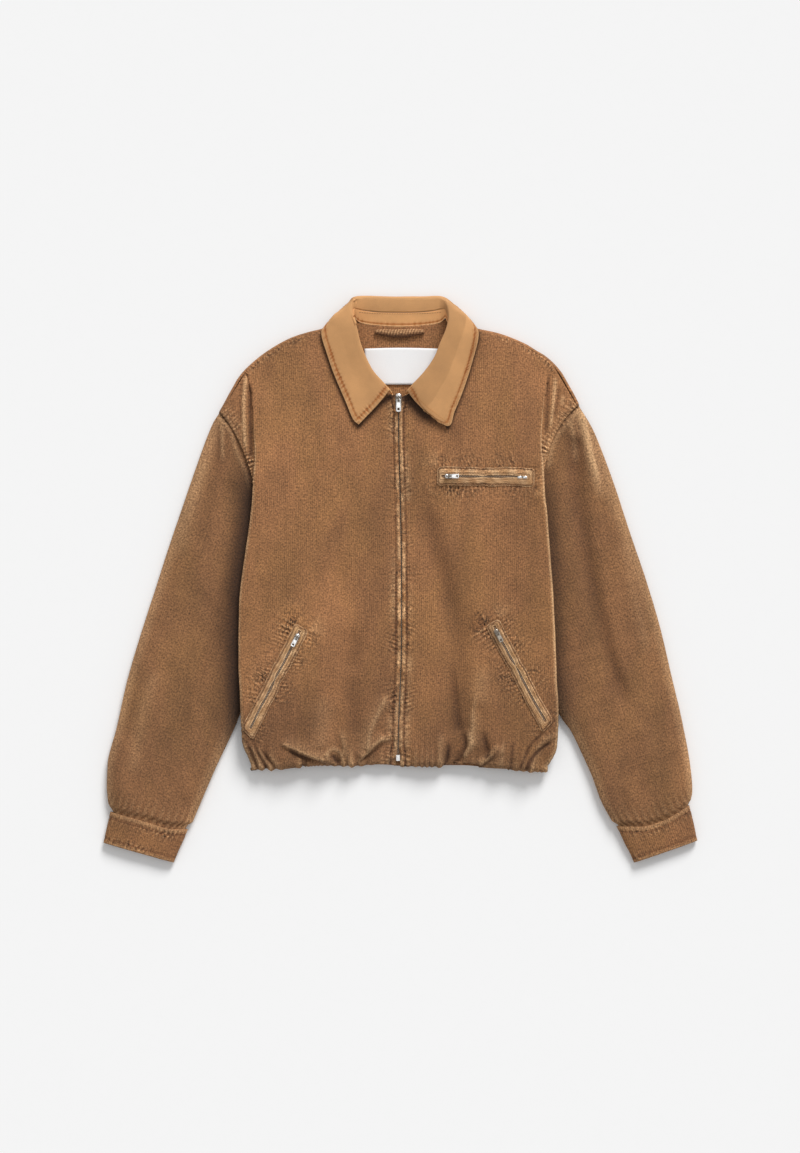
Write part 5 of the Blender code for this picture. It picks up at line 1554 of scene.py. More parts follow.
# Creases of the fronts: line, half width, height, half width to the right, end fades, and how much a ridge's
# crest is painted pale and a trough's bottom painted dark
HEM_CREASES = {
    "right": (
        (((-213, -216), (-199, -257)), 2.2, 1.5, 0, (10, 0), 0.7),
        (((-208, -218), (-193, -257)), 1.8, -1.6, 0, (10, 0), 0.9),
        (((-204, -221), (-187, -257)), 2.2, 1.6, 0, (10, 0), 0.7),
        (((-199, -222), (-181, -257)), 1.8, -1.6, 0, (10, 0), 0.9),
        (((-195, -226), (-175, -257)), 2.2, 1.6, 0, (10, 0), 0.6),
        (((-190, -229), (-168, -257)), 1.8, -1.5, 0, (10, 0), 0.8),
        (((-183, -232), (-160, -257)), 2.6, 1.2, 0, (10, 0), 0.4),
        (((-166, -222), (-140, -233), (-112, -243), (-96, -248)), 11, 4.2, 2.4, (14, 6), 0.3),
        (((-146, -235), (-122, -243), (-98, -251)), 1.7, -1.2, 0, (8, 4), 0.8),
        (((-92, -237), (-85, -248)), 3, -2.6, 0, (4, 0), 1.1),
        (((-102, -241), (-90, -231), (-77, -240)), 3.5, 1.8, 1.8, (3, 3), 0.6),
        (((-82, -200), (-75, -232), (-69, -250)), 6, 2.6, 2.6, (18, 0), 0.35),
        (((-46, -234), (-41, -205), (-30, -186), (-14, -158)), 11, 3, 5, (6, 14), 0.3),
        (((-18, -213), (-39, -231), (-58, -244)), 2, 3.6, 10, (8, 6), 0.3),
        (((-20, -221), (-41, -238), (-57, -249)), 1.7, -1.4, 0, (8, 4), 0.8),
        (((-2, -210), (-33, -218)), 5, 1.6, 2, (4, 10), 0.5),
        (((-70, -120), (-64, -165), (-62, -215)), 12, -2.2, 0, (30, 12), 0.3),
        (((-62, -60), (-66, -136)), 16, -2.6, 0, (24, 24), 0.25),
        (((-104, -150), (-108, -232)), 13, 2.6, 0, (30, 6), 0.2),
        (((-132, -256), (-126, -244)), 2.4, -1.8, 0, (0, 5), 0.9),
        (((-161, -222), (-142, -231), (-121, -239), (-101, -246)), 1.9, 0.9, 0, (6, 4), 1.1),
        (((-152, -231), (-138, -239), (-118, -247)), 2.4, -1.7, 0, (6, 6), 1),
        (((-46, -240), (-42, -215), (-36, -196), (-24, -170), (-14, -152)), 2.2, 0.9, 0, (6, 16), 1),
        (((-12, -217), (-30, -221), (-45, -236), (-58, -249)), 1.9, 1, 0, (4, 3), 1.1),
        (((-99, -236), (-94, -248)), 1.9, 1, 0, (3, 0), 0.9),
        (((-81, -237), (-76, -250)), 1.9, 1, 0, (3, 0), 0.9),
    ),
    "left": (
        (((67, -218), (66, -232), (61, -257)), 1.8, -2.4, 3.2, (14, 0), 1),
        (((55, -206), (54, -256)), 6, 2.2, 4, (16, 0), 0.35),
        (((70, -105), (75, -150), (79, -190), (84, -214)), 3.2, -2.2, 9, (40, 14), 0.4),
        (((86, -206), (88, -222), (80, -243), (73, -257)), 1.9, -2.4, 4.2, (10, 0), 0.8),
        (((92, -200), (94, -224), (84, -243)), 4, 3, 3, (16, 6), 0.8),
        (((98, -170), (99, -232)), 8, 2.8, 5, (24, 8), 0.35),
        (((110, -200), (117, -222), (120, -238), (114, -245)), 1.9, -2.4, 5, (20, 6), 0.8),
        (((104, -150), (99, -185), (97, -238)), 2.4, 0.9, 0, (24, 8), 0.8),
        (((128, -237), (118, -245), (106, -252)), 1.8, 1.2, 0, (4, 3), 1),
        (((134, -222), (120, -238), (102, -250)), 11, 3.8, 2.2, (8, 6), 0.3),
        (((134, -233), (120, -248), (106, -257)), 1.7, -1.7, 0, (6, 4), 0.9),
        (((141, -216), (136, -256)), 2.8, 1.5, 0, (12, 0), 0.5),
        (((153, -220), (149, -257)), 2.2, -1.7, 0, (12, 0), 0.8),
        (((212, -206), (188, -226), (176, -254)), 5.5, 3.6, 2.4, (10, 0), 0.4),
        (((206, -219), (183, -236), (171, -256)), 2.2, -2, 0, (10, 0), 1.3),
        (((196, -205), (176, -226), (164, -254)), 2, -1.6, 0, (10, 0), 1),
        (((34, 107), (41, 67), (71, -42), (82, -102), (79, -160), (82, -219)), 14, -2.6, 0, (30, 25),
         0.35),
        (((112, -110), (106, -180)), 13, 2.6, 0, (30, 20), 0.2),
    ),
}
# Small folds of the layer beside the armholes
ARMHOLE_CREASES = {
    "right": (
        (((-203, 272), (-203, 215), (-202, 158)), 3, -1.8, 0, (14, 14), 1),
        (((-209, 278), (-212, 230), (-209, 172)), 2.6, 1.8, 0, (10, 14), 1),
        (((-214, 272), (-216.5, 240), (-215, 205)), 1.6, -1, 0, (8, 12), 1.2),
    ),
    "left": (
        (((200, 282), (199.5, 235), (197, 190)), 2.5, -1.4, 0, (12, 14), 1),
        (((211, 276), (208, 240), (203, 200)), 2.2, 1.8, 0, (10, 14), 1),
        (((216, 262), (212, 236), (208, 214)), 2, -1.2, 0, (8, 10), 0.9),
        (((222, 252), (218, 232)), 2.4, 1.2, 0, (8, 8), 1),
    ),
}
ARMHOLES = {
    "right": ((-245, 227), (-225, 199), (-217, 172), (-206, 147), (-200, 125)),
    "left": ((243, 238), (224, 214), (205, 188), (198, 169), (196, 154)),
}
STAND_TOP_ROW = ((-56, 362), (-28, 360.4), (0, 360.2), (28, 360.4), (56, 362))
NECK_ROW = ((-54, 352), (-42, 348), (-28, 346.5), (0, 345.5), (28, 346.5), (42, 348), (54, 352))
SHOULDER_STITCHING = Stitching(0.2, 0.3, 6.5, (6.0, 5.0), 31, 0.5, 0.12)
ARMHOLE_STITCHING = Stitching(0.3, 0.85, 4.6, (13.0, 13.0), 41, 1.0, 0.3, 0.95)
SLEEVE_STITCHING = Stitching(0.2, 0.3, 7.0, (4.0, 4.0), 43, 0.4, 0.3)
POCKET_STITCHING = Stitching(0.4, 0.75, 5.0, (24.0, 4.0), 51, 0.45, 0.3, 0.6)
# How strongly the cloth is gathered along the zip, from the hem up
ZIP_GATHERED = ((-262, 0.9), (-200, 0.55), (-160, 1.1), (-120, 0.4), (-85, 1.0), (-20, 1.15), (15, 0.5),
                (90, 0.35), (150, 0.6), (190, 0.4), (225, 1.0), (250, 1.0))


@dataclass
class Body:
    """The two fronts and the back."""

    rows: int = 345
    back_rows: int = 96

    def front_relief(self, side: Side, patch: Patch) -> None:
        """The relief of one front."""
        count = patch.x.shape[0]
        share = self.front_columns()[:count, None]
        upper = 1 - ease(0.86, 0.9, share)
        soft = 0.75 + 1.3 * ease(-110, -230, patch.y)
        patch.lift += soft * waves(5 + side.sign, patch.x, patch.y * 0.45, 42) * upper
        patch.lift += 0.22 * waves(9 + side.sign, patch.x, patch.y, 15) * upper
        from_zip = patch.across[0]
        run = patch.y + 300
        top = ease(0, 14, patch.along[1])
        row = from_zip - 6.7
        gathered = upper * top * smooth(*zip(*ZIP_GATHERED), patch.y)
        ZIP_STITCHING.gather(patch, run + 40 * side.sign, row, gathered)
        patch.lift += 0.6 * bell(from_zip - 3.0, 2.2) * upper
        # pale band along the zip's edge: abrasion with painted highlight; the patches beside it are abrasion
        band = 0.5 + 0.5 * drift(13 + side.sign, run, 17) + 0.5 * drift(15 + side.sign, run, 4)
        patch.worn += 0.95 * band * bell(from_zip - 2.2, 2.7, 4) * upper
        rub = np.clip(drift(19 + side.sign, run, 26), 0, 1) * (0.6 + 0.4 * drift(20, run, 3))
        patch.worn += 0.8 * rub * bell(from_zip - 9, 6) * upper
        # painted shade in the groove of the zip's stitched row
        patch.deep += 0.6 * bell(from_zip - 6.7, 1.5) * upper * (0.8 + 0.6 * drift(17, run, 7))
        patch.crinkle += 0.5 * bell(from_zip, 7) * upper
        self.hem(patch, side, upper)
        for crease in HEM_CREASES[side.name]:
            Crease(*crease).press(patch, upper)
        for pocket in POCKETS:
            if pocket.side is side:
                self.round_pocket(patch, pocket, upper)
        for crease in ARMHOLE_CREASES[side.name]:
            Crease(*crease).press(patch, ease(0.86, 0.88, share))
        strip = Seam(ARMHOLES[side.name], ARMHOLE_STITCHING, offset=-side.sign * 6.0)
        strip.press(patch, ease(0.84, 0.87, share))
        _, away, _ = near_line(ARMHOLES[side.name], patch.x, patch.y)
        # paler band beside the armhole seam: abrasion and painted highlight
        patch.worn += 0.3 * bell(away, 9) * ease(0.84, 0.87, share)
        Seam(side.placed(side.shoulder), SHOULDER_STITCHING, offset=-side.sign * 6.0).press(patch, upper)
        # painted highlight, with abrasion, along the side fold, stronger on the wearer's left
        ridge = bell(share - 0.853, 0.015) * ease(0, 50, 262 + 36 * side.sign - patch.y)
        pale_wear_and_highlight = 1.6 if side.sign > 0 else 1.0
        patch.worn += ridge * (1.0 + 0.4 * waves(77, patch.x, patch.y, 22)) * pale_wear_and_highlight
        # painted shade on the layer under the side fold
        patch.tone -= 0.5 * ease(0.862, 0.875, share) * ease(150, 110, patch.y)
        self.tone(patch, side)

    def tone(self, patch: Patch, side: Side) -> None:
        """Painted light and shade, with random colour shifts: lighter towards the wearer's left shoulder,
        nearer the light, and darker towards the hem; painted shadows of the collar's leaves on the front; a
        darker band either side of the zip.
        """
        patch.tone += 0.10 * ease(60, 260, patch.y) * (1 if side.sign > 0 else 0.4)
        patch.tone -= 0.3 * ease(-70, -240, patch.y)
        front, edge = COLLAR[side.name][0], leaf_edge(side)
        tip = 1 if side.sign > 0 else 0
        leaf_end = (front[0:2], front[6:8], *edge[:tip + 1])
        wide, dark, fading = (11.0, 1.4, 45.0) if side.sign > 0 else (4.5, 0.9, 1.0)
        # painted shadows of the leaf's end and of its edge on the front
        for line, reach, depth, fade in ((leaf_end, wide, dark, fading), (edge[tip:], 3.5, 0.8, 1.0)):
            run, away, total = near_line(line, patch.x, patch.y)
            shade = bell(away, reach) * (0.25 + 0.75 * ease(-1, fade, total - run))
            patch.deep += depth * shade
            patch.tone -= 0.5 * depth * shade
        patch.tone += 0.09 * waves(21 + side.sign, patch.x, patch.y * 0.5, 50)
        patch.tone -= 0.12 * bell(np.abs(patch.x) - 26, 16) * ease(-60, 60, patch.y + 60)

    def hem(self, patch: Patch, side: Side, upper: Field) -> None:
        """Gathers of the elasticated hem: they grow towards the fold. Their crests are painted pale and their
        hollows painted dark, for light and shade, and the cloth is paler near the hem.
        """
        from_hem = patch.y - y_at(side.hem, np.clip(np.abs(patch.x), 0, 215))
        grow = bell(np.clip(from_hem, 0, None), 24) * upper
        run = patch.x
        pitch = 11.0 + 2.5 * drift(61 + side.sign, run, 45)
        phase = math.tau * run / pitch + 2.5 * drift(63 + side.sign, run, 30)
        strength = np.clip(0.6 + 0.5 * drift(65 + side.sign, run, 34), 0.1, 1.1)
        wave = np.cos(phase + 0.02 * from_hem * drift(67, run, 26))
        patch.lift += 1.1 * grow * strength * wave
        patch.worn += 0.40 * grow * strength * np.clip(wave, 0, 1) + 0.25 * bell(from_hem, 11)
        patch.deep += 0.55 * grow * strength * np.clip(-wave, 0, 1)

    def round_pocket(self, patch: Patch, pocket: PocketForm, upper: Field) -> None:
        """The cloth round a pocket sinks to its stitching and gathers beside it."""
        places = pocket.corners(pocket.width / 2 + 0.6, 3.0, *pocket.tips)
        frame_line = tuple(zip(*(values.tolist() for values in pocket.at(places[:, 0], places[:, 1]))))
        run, away, _ = near_line(frame_line, patch.x, patch.y)
        patch.lift *= 1 - ease(-3.0, 0.5, -away) * upper
        POCKET_STITCHING.gather(patch, run, away, upper * np.where(away > 0, 1.0, 0.0))

    def front_columns(self) -> Field:
        """Columns of a front: closest beside the zip and round the side fold."""
        return stretches((0, 0.085, FLAT_SHARE, 0.9, 1.0), (14, 94, 11, 21))

    def body_places(self, count: int) -> Field:
        """Rows of the body: closer round the hem and over the shoulder."""
        return stretches((0, HEM_ROWS, TOP_ROWS, 1.0), (16, count - 26, 12))

    def pieces(self) -> list[Cloth]:
        """The fronts and the back."""
        fronts = [Cloth(
            f"front_{side.name}", FrontForm(side).grid, self.front_columns(), self.body_places(self.rows),
            WALL, CORDUROY, (0.27, 0.61, 0.135), partial(self.front_relief, side), Held.FOLDED, ("back",),
            turned=side.sign < 0, grain=STRAIGHT,
        ) for side in SIDES]
        half = stretches((0, 0.9, 1.0), (40, 12))
        return [*fronts, Cloth(
            "back", BackForm().grid, np.concatenate([-half[:0:-1], half]), self.body_places(self.back_rows),
            WALL, CORDUROY, (0.48, 0.61, 0.237), self.back_relief, turned=True, grain=STRAIGHT,
        )]

    def back_relief(self, patch: Patch) -> None:
        """The back is pressed flat by the table, with its gathers at the hem, their crests painted pale and
        their hollows painted dark for light and shade.
        """
        from_hem = patch.along[0]
        wave = np.cos(math.tau * patch.x / 12 + 2 * drift(71, patch.x, 30))
        patch.worn += 0.3 * bell(from_hem, 20) * np.clip(wave, 0, 1)
        patch.deep += 0.4 * bell(from_hem, 20) * np.clip(-wave, 0, 1)
        patch.tone += 0.05 * waves(73, patch.x, patch.y, 60)


SLEEVE_CREASES = {
    "right": (
        (((-214, 262), (-214, 223), (-209, 184)), 6, 0.8),
        (((-241, 212), (-241, 156)), 2.4, 1.2, 0, (10, 14), 0.9),
        (((-246, 208), (-246, 150)), 2.4, -1.1, 0, (10, 14), 0.8),
        (((-236, 190), (-252, 120), (-266, 40)), 8, -1, 0, (20, 30)),
        (((-262, 168), (-284, 90), (-300, 20)), 9, 1, 0, (20, 30)),
        (((-240, -60), (-276, -150), (-300, -220)), 8, -0.9, 0, (20, 30)),
        (((-330, -120), (-352, -200), (-364, -270)), 9, 0.9, 0, (20, 20)),
    ),
    "left": (
        (((245, 233), (254, 180), (262, 147), (276, 100)), 6, 2.2, 0, (10, 40), 0.55),
        (((245, 232), (252, 200), (259, 169), (265, 147), (271, 128)), 2.8, 1.6, 0, (10, 24), 1),
        (((231, 218), (237, 180), (240, 150)), 3, 1.5, 0, (10, 20), 0.7),
        (((236, 199), (240, 117), (250, 60), (264, -20), (290, -120), (318, -190)), 8, -4, 12,
         (15, 60), 0.5),
        (((208, 182), (202, 147)), 4, 0.8),
        (((300, 60), (318, -20), (338, -110)), 9, 0.9, 0, (25, 30)),
    ),
}
SLEEVE_SHADE = {"right": (0.88, 22.0), "left": (0.5, 16.0)}  # painted shadow of the body on each sleeve: how dark, and how far out
SLEEVE_GRAIN = (0.294, 0.956)


@dataclass
class Sleeves:
    """The two sleeves and their cuffs."""

    around: int = 128
    rows: int = 210

    def relief(self, side: Side, patch: Patch) -> None:
        """The relief of one sleeve."""
        around = np.linspace(0, 1, patch.x.shape[0])[:, None]
        across, up = tube_section(around, *SLEEVE_POWERS)
        upper = ease(0.0, 0.5, up)
        patch.lift += 0.65 * waves(15 + side.sign, patch.x, patch.y * 0.6, 42) * (0.25 + 0.75 * upper)
        patch.lift += 0.25 * waves(19 + side.sign, patch.x, patch.y, 14) * (0.25 + 0.75 * upper)
        for crease in SLEEVE_CREASES[side.name]:
            Crease(*crease).press(patch, upper)
        Seam(ARMHOLES[side.name], SLEEVE_STITCHING).press(patch, upper)
        run, away, _ = near_line(drawn(ARMHOLES[side.name]), patch.x, patch.y)
        # the sleeve head's ridge beside the armhole, painted pale for highlight and abrasion
        head = bell(side.sign * away - 4.5, 3.2) * ease(0, 10, run) * upper
        patch.lift += 1.5 * head
        patch.worn += 0.35 * head
        # painted shadow that the body casts on the sleeve beside it
        beside = np.clip(side.sign * patch.x - out_at(side.lip, patch.y), 0, None)
        depth, wide = SLEEVE_SHADE[side.name]
        shade = bell(beside, wide) * ease(185, 95, patch.y) * (0.5 + 0.5 * upper)
        patch.tone -= 0.72 * depth * shade
        patch.deep += 1.1 * depth * shade
        # gathers above the cuff, crests painted pale and hollows painted dark for light and shade
        to_cuff = patch.along[1] - patch.along[1][:, [int(patch.x.shape[1] * 0.93)]]
        near = bell(np.clip(to_cuff, 0, None), 16) * (0.4 + 0.6 * upper)
        run = patch.across[0]
        wave = np.cos(math.tau * run / 9.5 + 2.2 * drift(81 + side.sign, run, 22))
        patch.lift += 0.45 * near * wave
        patch.worn += 0.25 * near * np.clip(wave, 0, 1)
        patch.deep += 0.2 * near * np.clip(-wave, 0, 1)
        # both folded edges painted paler, highlight with abrasion; the inner side painted darker as shade
        edge = np.abs(across)
        patch.worn += 0.4 * ease(0.78, 0.99, edge)
        patch.tone -= 0.12 * ease(0.3, 1.0, across) * upper
        patch.tone += 0.06 * waves(23 + side.sign, patch.x, patch.y * 0.6, 50)

    def cuff_relief(self, side: Side, patch: Patch) -> None:
        """The relief of one cuff: a puckered band below its seam, and a firm edge."""
        run = patch.across[0]
        first = Stitching(sink=0.4, height=0.45, pitch=6.5, reach=(9, 6), seed=91 + side.sign)
        first.gather(patch, run, patch.along[0] - 8.0, 1.0)
        second = Stitching(sink=0.4, height=0.3, pitch=6.5, reach=(7, 5), seed=95 + side.sign)
        second.gather(patch, run, 7.0 - patch.along[1], 1.0)
        # both edges painted paler: abrasion and painted highlight
        patch.worn += 0.5 * bell(patch.along[1], 3.0)
        patch.worn += 0.45 * bell(patch.along[0] - 2.5, 2.5)
        patch.tone -= 0.08
        patch.lift += 0.3 * waves(27 + side.sign, patch.x, patch.y, 20)

    def pieces(self) -> list[Cloth]:
        """The sleeves and cuffs."""
        rows = stretches((0, 0.14, 0.9, 1.0), (26, self.rows - 54, 30))
        found = []
        for side in SIDES:
            for name, form, places, finish, flat, relief in (
                    ("sleeve", SleeveForm(side), rows, SLEEVE_CORDUROY, (0.45, 0.58, 0.155), self.relief),
                    ("cuff", CuffForm(side), 26, CORDUROY, (0.22, 0.05, 0.0096), self.cuff_relief)):
                found.append(Cloth(
                    f"{name}_{side.name}", form.grid, self.around + 1, places, WALL, finish, flat,
                    partial(relief, side), Held.FOLDED, turned=side.sign > 0, ring=True, middle=0.25,
                    grain=(-side.sign * SLEEVE_GRAIN[0], SLEEVE_GRAIN[1]),
                ))
        return found


@dataclass
class Neck:
    """Collar, back facing, bare label and hanger loop."""

    columns: int = 240

    def fall_relief(self, patch: Patch) -> None:
        """The fall's stitched edge runs round its tips, with small puckers beside it."""
        from_edge = patch.along[1]
        far = 500 * (1 - ease(0.1, 0.14, np.linspace(0, 1, patch.x.shape[1])))[None]
        stitched = Stitching(0.45, 0.55, 5.4, (7.5, 3.6), 101, 0.5, 0.6, 0.9)
        beside = np.minimum(patch.across[0] + far, patch.across[1] + far)
        inner = np.minimum(from_edge, beside)
        run = np.where(from_edge < beside, patch.across[0], 900 + patch.along[0])
        stitched.gather(patch, run, 6.6 - inner, 1.0)
        patch.lift += 0.35 * bell(inner - 3.2, 2.6)
        patch.lift += 0.45 * waves(33, patch.x, patch.y, 30) * ease(0, 12, inner)
        # pale edge for abrasion and painted highlight, painted shade in the stitched groove
        patch.worn += 0.3 * bell(inner, 2.2)
        patch.deep += 0.32 * bell(inner - 5, 3.6) * (0.7 + 0.6 * drift(103, run, 7))
        patch.tone += 0.04 * waves(35, patch.x, patch.y, 24)

    def stand_relief(self, patch: Patch) -> None:
        """The stand has a row of stitches along its neck seam. Its seam edge is painted pale, for abrasion
        and highlight, its stitched groove painted dark, for shade, and the whole stand is painted lighter, as
        painted light where the fall shades it.
        """
        stitched = Stitching(sink=0.25, height=0.2, pitch=6.0, reach=(4, 4), seed=105, pale=0.3)
        stitched.gather(patch, patch.across[0], patch.along[0] - 3.0, 1.0)
        patch.worn += 0.9 * bell(patch.along[0] - 0.8, 1.2)
        patch.deep += 0.3 * bell(patch.along[0] - 3.2, 0.9)
        patch.tone += 0.28

    def loop_relief(self, patch: Patch) -> None:
        """The loop is painted dark in the grooves of its twist and on its lower side, for shade, and pale on
        its crests, for highlight.
        """
        form = LoopForm()
        angle = math.tau * np.linspace(0, 1, patch.x.shape[0])[:, None]
        groove = 1 - np.abs(np.cos(angle + form.twist * patch.along[0] / 2))
        low = ease(1.0, -4.0, patch.y - y_at(LOOP_LINE, patch.x))
        patch.deep += 0.8 * groove**2 + 0.9 * low
        patch.worn += 0.7 * (1 - groove) * (1 - low)

    def facing_relief(self, patch: Patch) -> None:
        """The facing's curved edge is abraded pale, and its lower part is painted lighter, as painted light
        between the collar's leaves.
        """
        patch.worn += 0.25 * bell(patch.along[0], 4)
        patch.tone += 0.35 * ease(290, 262, patch.y)
        patch.tone += 0.04 * waves(37, patch.x, patch.y, 30)

    def pieces(self) -> list[Cloth]:
        """The collar, the facing, the label and the loop."""
        return [
            Cloth("collar_fall", CollarForm(STAND_SHARE + STAND_GAP, 1).grid, self.columns + 1,
                  stretches((0, 0.44, 1.0), (40, 44)), COLLAR_WALL, TWILL, (0.52, 0.084, 0.0245),
                  self.fall_relief, Held.FOLDED, ("front_right_cloth", "front_left_cloth")),
            Cloth("collar_stand", CollarForm(0, STAND_SHARE - STAND_GAP).grid, self.columns + 1, 20,
                  COLLAR_WALL, TWILL, (0.386, 0.0185, 0.0045), self.stand_relief, Held.FOLDED),
            Cloth("neck_facing", FacingForm().grid, np.linspace(0.06, 0.94, 80), 50, FACING_WALL, CORDUROY,
                  (0.156, 0.113, 0.0143), self.facing_relief, rests_on=("back_cloth",), grain=STRAIGHT),
            Cloth("neck_label", LabelForm().grid, 34, 18, LABEL_WALL, LABEL_CLOTH, (0.099, 0.05, 0.00495),
                  rests_on=("neck_facing_cloth",)),
            Cloth("hanger_loop", LoopForm().grid, 25, 130, LOOP_WALL, CORDUROY, relief=self.loop_relief,
                  ring=True, name="hanger_loop_twist"),
        ]


FRAME_SEED = 121


@dataclass
class Pockets:
    """Frames and zip strips of the three pockets."""

    def frame_relief(self, seed: int, patch: Patch) -> None:
        """The relief of a frame: ribbed along its length and stitched beside both edges."""
        inner, outer = patch.along
        outline = Stitching(0.4, 0.3, 4.6, (3.0, 2.4), seed, 0.4, 0.8)
        outline.gather(patch, patch.across[0], outer - 1.8, 1.0)
        # painted shade beside the mouth's stitching; pale edges for abrasion and painted highlight; the
        # frame's cloth is paler overall
        patch.deep += 0.5 * bell(inner - 2.6, 0.9)
        patch.worn += 0.6 * bell(inner, 1.3) + 0.5 * bell(outer, 0.9)
        patch.worn += 0.2 + 0.25 * waves(seed, patch.x, patch.y, 9)
        patch.lift += 0.3 * waves(seed, patch.x, patch.y, 16)
        patch.tone += 0.06 + 0.06 * (seed == FRAME_SEED)

    def pieces(self) -> list[Cloth]:
        """Each pocket's frame and its zip's tape."""
        found = []
        around = stretches((0, 0.25, 0.5, 0.75, 1.0), (110, 14, 110, 14))
        for at, pocket in enumerate(POCKETS):
            name, length = pocket.name, pocket.length
            area = (length + 7) * pocket.width - (length - 7) * 2 * MOUTH
            found.append(Cloth(
                f"{name}_frame", pocket.ring, around, 15, WELT_WALL, FRAME_CORDUROY,
                ((length + 10) * MM, (pocket.width + 1) * MM, area * MM * MM),
                partial(self.frame_relief, FRAME_SEED + at), rests_on=(f"front_{pocket.side.name}_cloth",),
                ring=True, cross_grain=True, nodes=(f"{name}_welt_upper", f"{name}_welt_lower"),
            ))
            found.append(Cloth(
                f"{name}_zip", pocket.strip, 90, 5, STRIP_WALL, TAPE_CLOTH,
                (length * MM - 0.006, 0.0101, (length - 6) * 10 * MM * MM),
            ))
        return found


@dataclass
class CentreZip:
    """The tapes of the centre zip."""

    low: float = -245.0
    high: float = 243.0
    width: float = 11.0

    def tape(self, side: Side, columns: Field, rows: Field) -> Field:
        """One tape's places at these columns and rows."""
        columns, rows = spread(columns, rows)
        y = self.low + rows * (self.high - self.low)
        x = out_at(ZIP_LINE, y) + side.sign * (SEAM_GAP + self.width * columns)
        return np.stack([x, y, side.height(x, y) - WALL - GAP], axis=-1)

    def pieces(self) -> list[Cloth]:
        """Both tapes."""
        return [Cloth(f"zip_tape_{side.name}", partial(self.tape, side), 5, 160, TAPE_WALL, TAPE_CLOTH,
                      (0.0111, 0.489, 0.00538), turned=side.sign < 0) for side in SIDES]


@dataclass(frozen=True)
class Sewing:
    """The rows of thread that show, and the teeth of the zips."""

    zip_row: float = 7.5
    edge_row: float = 6.0
    collar_row: float = 6.2
    frame_row: float = 1.8
    cuff_rows: tuple[float, float] = (8.0, 7.0)
    zip_teeth: tuple[float, float, float] = (-236.0, 238.0, 1.45)  # the first, the last and their pitch
    small_teeth: tuple[float, float] = (6.0, 1.15)  # from each end, and their pitch
    tooth: tuple[float, float, float] = (1.0, 1.05, 1.2)
    small_tooth: tuple[float, float, float] = (1.5, 0.8, 1.0)
    stop: tuple[float, float, float] = (3.2, 6.0, 1.8)

    def build(self, cloth: dict[str, Cloth]) -> None:
        """Sews every row and sets the teeth.

        Args:
            cloth: The cloth pieces by name.
        """
        thread = Piece("body_thread", THREAD)
        gold = Piece("collar_thread", COLLAR_THREAD)
        zip_line = tuple((float(out_at(ZIP_LINE, y)), float(y)) for y in range(-246, 241, 9))
        for side in SIDES:
            body, cuff = cloth[f"front_{side.name}_cloth"], cloth[f"cuff_{side.name}_cloth"]
            thread.sew(body.traced(zip_line, -side.sign * self.zip_row))
            thread.sew(body.traced(ARMHOLES[side.name], -side.sign * self.edge_row))
            thread.sew(cuff.traced(side.placed(side.cuff_in), side.sign * self.cuff_rows[0]))
            thread.sew(cuff.traced(side.placed(side.cuff_end), -side.sign * self.cuff_rows[1]))
            fall = cloth["collar_fall_cloth"]
            front = COLLAR[side.name][0]
            for line in (leaf_edge(side), (front[3:5], front[6:8], front[9:11])):
                gold.sew(fall.traced(line, side.sign * self.collar_row))
        for sewn, line in ((thread, STAND_TOP_ROW), (gold, NECK_ROW)):
            sewn.sew(cloth["collar_stand_cloth"].traced(line))
        for pocket in POCKETS:
            left, right = pocket.tips
            places = pocket.corners(pocket.width / 2 - self.frame_row, 0.7, left - self.frame_row,
                                    right - self.frame_row)
            xs, ys = pocket.at(places[:, 0], places[:, 1])
            for first, second in zip(zip(xs[:-1], ys[:-1]), zip(xs[1:], ys[1:])):
                thread.sew(cloth[f"{pocket.name}_frame_cloth"].traced((first, second)))
        thread.finished()
        gold.finished()
        self.teeth()

    def teeth(self) -> None:
        """The teeth of all four zips, in two rows that mesh, and the chest pocket's bright end stops."""
        teeth = Piece("zip_teeth", TEETH)
        stops = Piece("chest_zip_stops", NICKEL)
        places = []
        first, pitch = self.small_teeth
        for at, y in enumerate(np.arange(*self.zip_teeth)):
            x = out_at(ZIP_LINE, y) + (0.4 if at % 2 else -0.4)
            z = RIGHT.height(x, y) - WALL - GAP + 0.45
            places.append(self.block(Vector((x, y, z)), 0.0, self.tooth))
        for pocket in POCKETS:
            turn = math.atan2(*pocket.course[::-1]) - math.pi / 2
            for at, run in enumerate(np.arange(first, pocket.length - first, pitch)):
                x, y = pocket.at(run, 0.55 if at % 2 else -0.55)
                z = pocket.side.height(x, y) + STRIP_LIFT + STRIP_WALL + 0.35
                places.append(self.block(Vector((x, y, z)), turn, self.small_tooth))
        teeth.repeat(bmesh.ops.create_cube, places, size=1.0)
        chest = POCKETS[0]
        spots = [chest.at(chest.length - back, -0.6) for back in (7.0, 14.0)]
        stops.repeat(bmesh.ops.create_cube, [
            self.block(Vector((x, y, chest.side.height(x, y) + 2.2)), -math.pi / 2, self.stop)
            for x, y in spots], size=1.0)
        teeth.finished(0.16)
        stops.finished(0.5)

    def block(self, place: Vector, turn: float, size: tuple[float, float, float]) -> Matrix:
        """The place of a block whose second side runs along the tape."""
        along_tape = Matrix.Rotation(turn, 4, "Z") @ Matrix.Diagonal(Vector((*size, 1 / MM)) * MM)
        return Matrix.Translation(place * MM) @ along_tape


PULL_AXIS = -1.7  # along the slider
SLIDER_LIFT = 3.9  # of a pocket's slider over the front
SLIDER_FROM_START = 13.0
# Along a pull, from its axis to its free end: share of the length, half width, half opening, open below
PULL_ROWS = (
    (-0.03, 0.7, 0.44, False), (0.03, 0.76, 0.46, True), (0.2, 0.8, 0.46, False), (0.3, 1.0, 0.42, False),
    (0.68, 1.0, 0.42, True), (0.88, 1.0, 0.42, False), (0.96, 0.96, 0.42, False), (1.0, 0.7, 0.3, False),
)


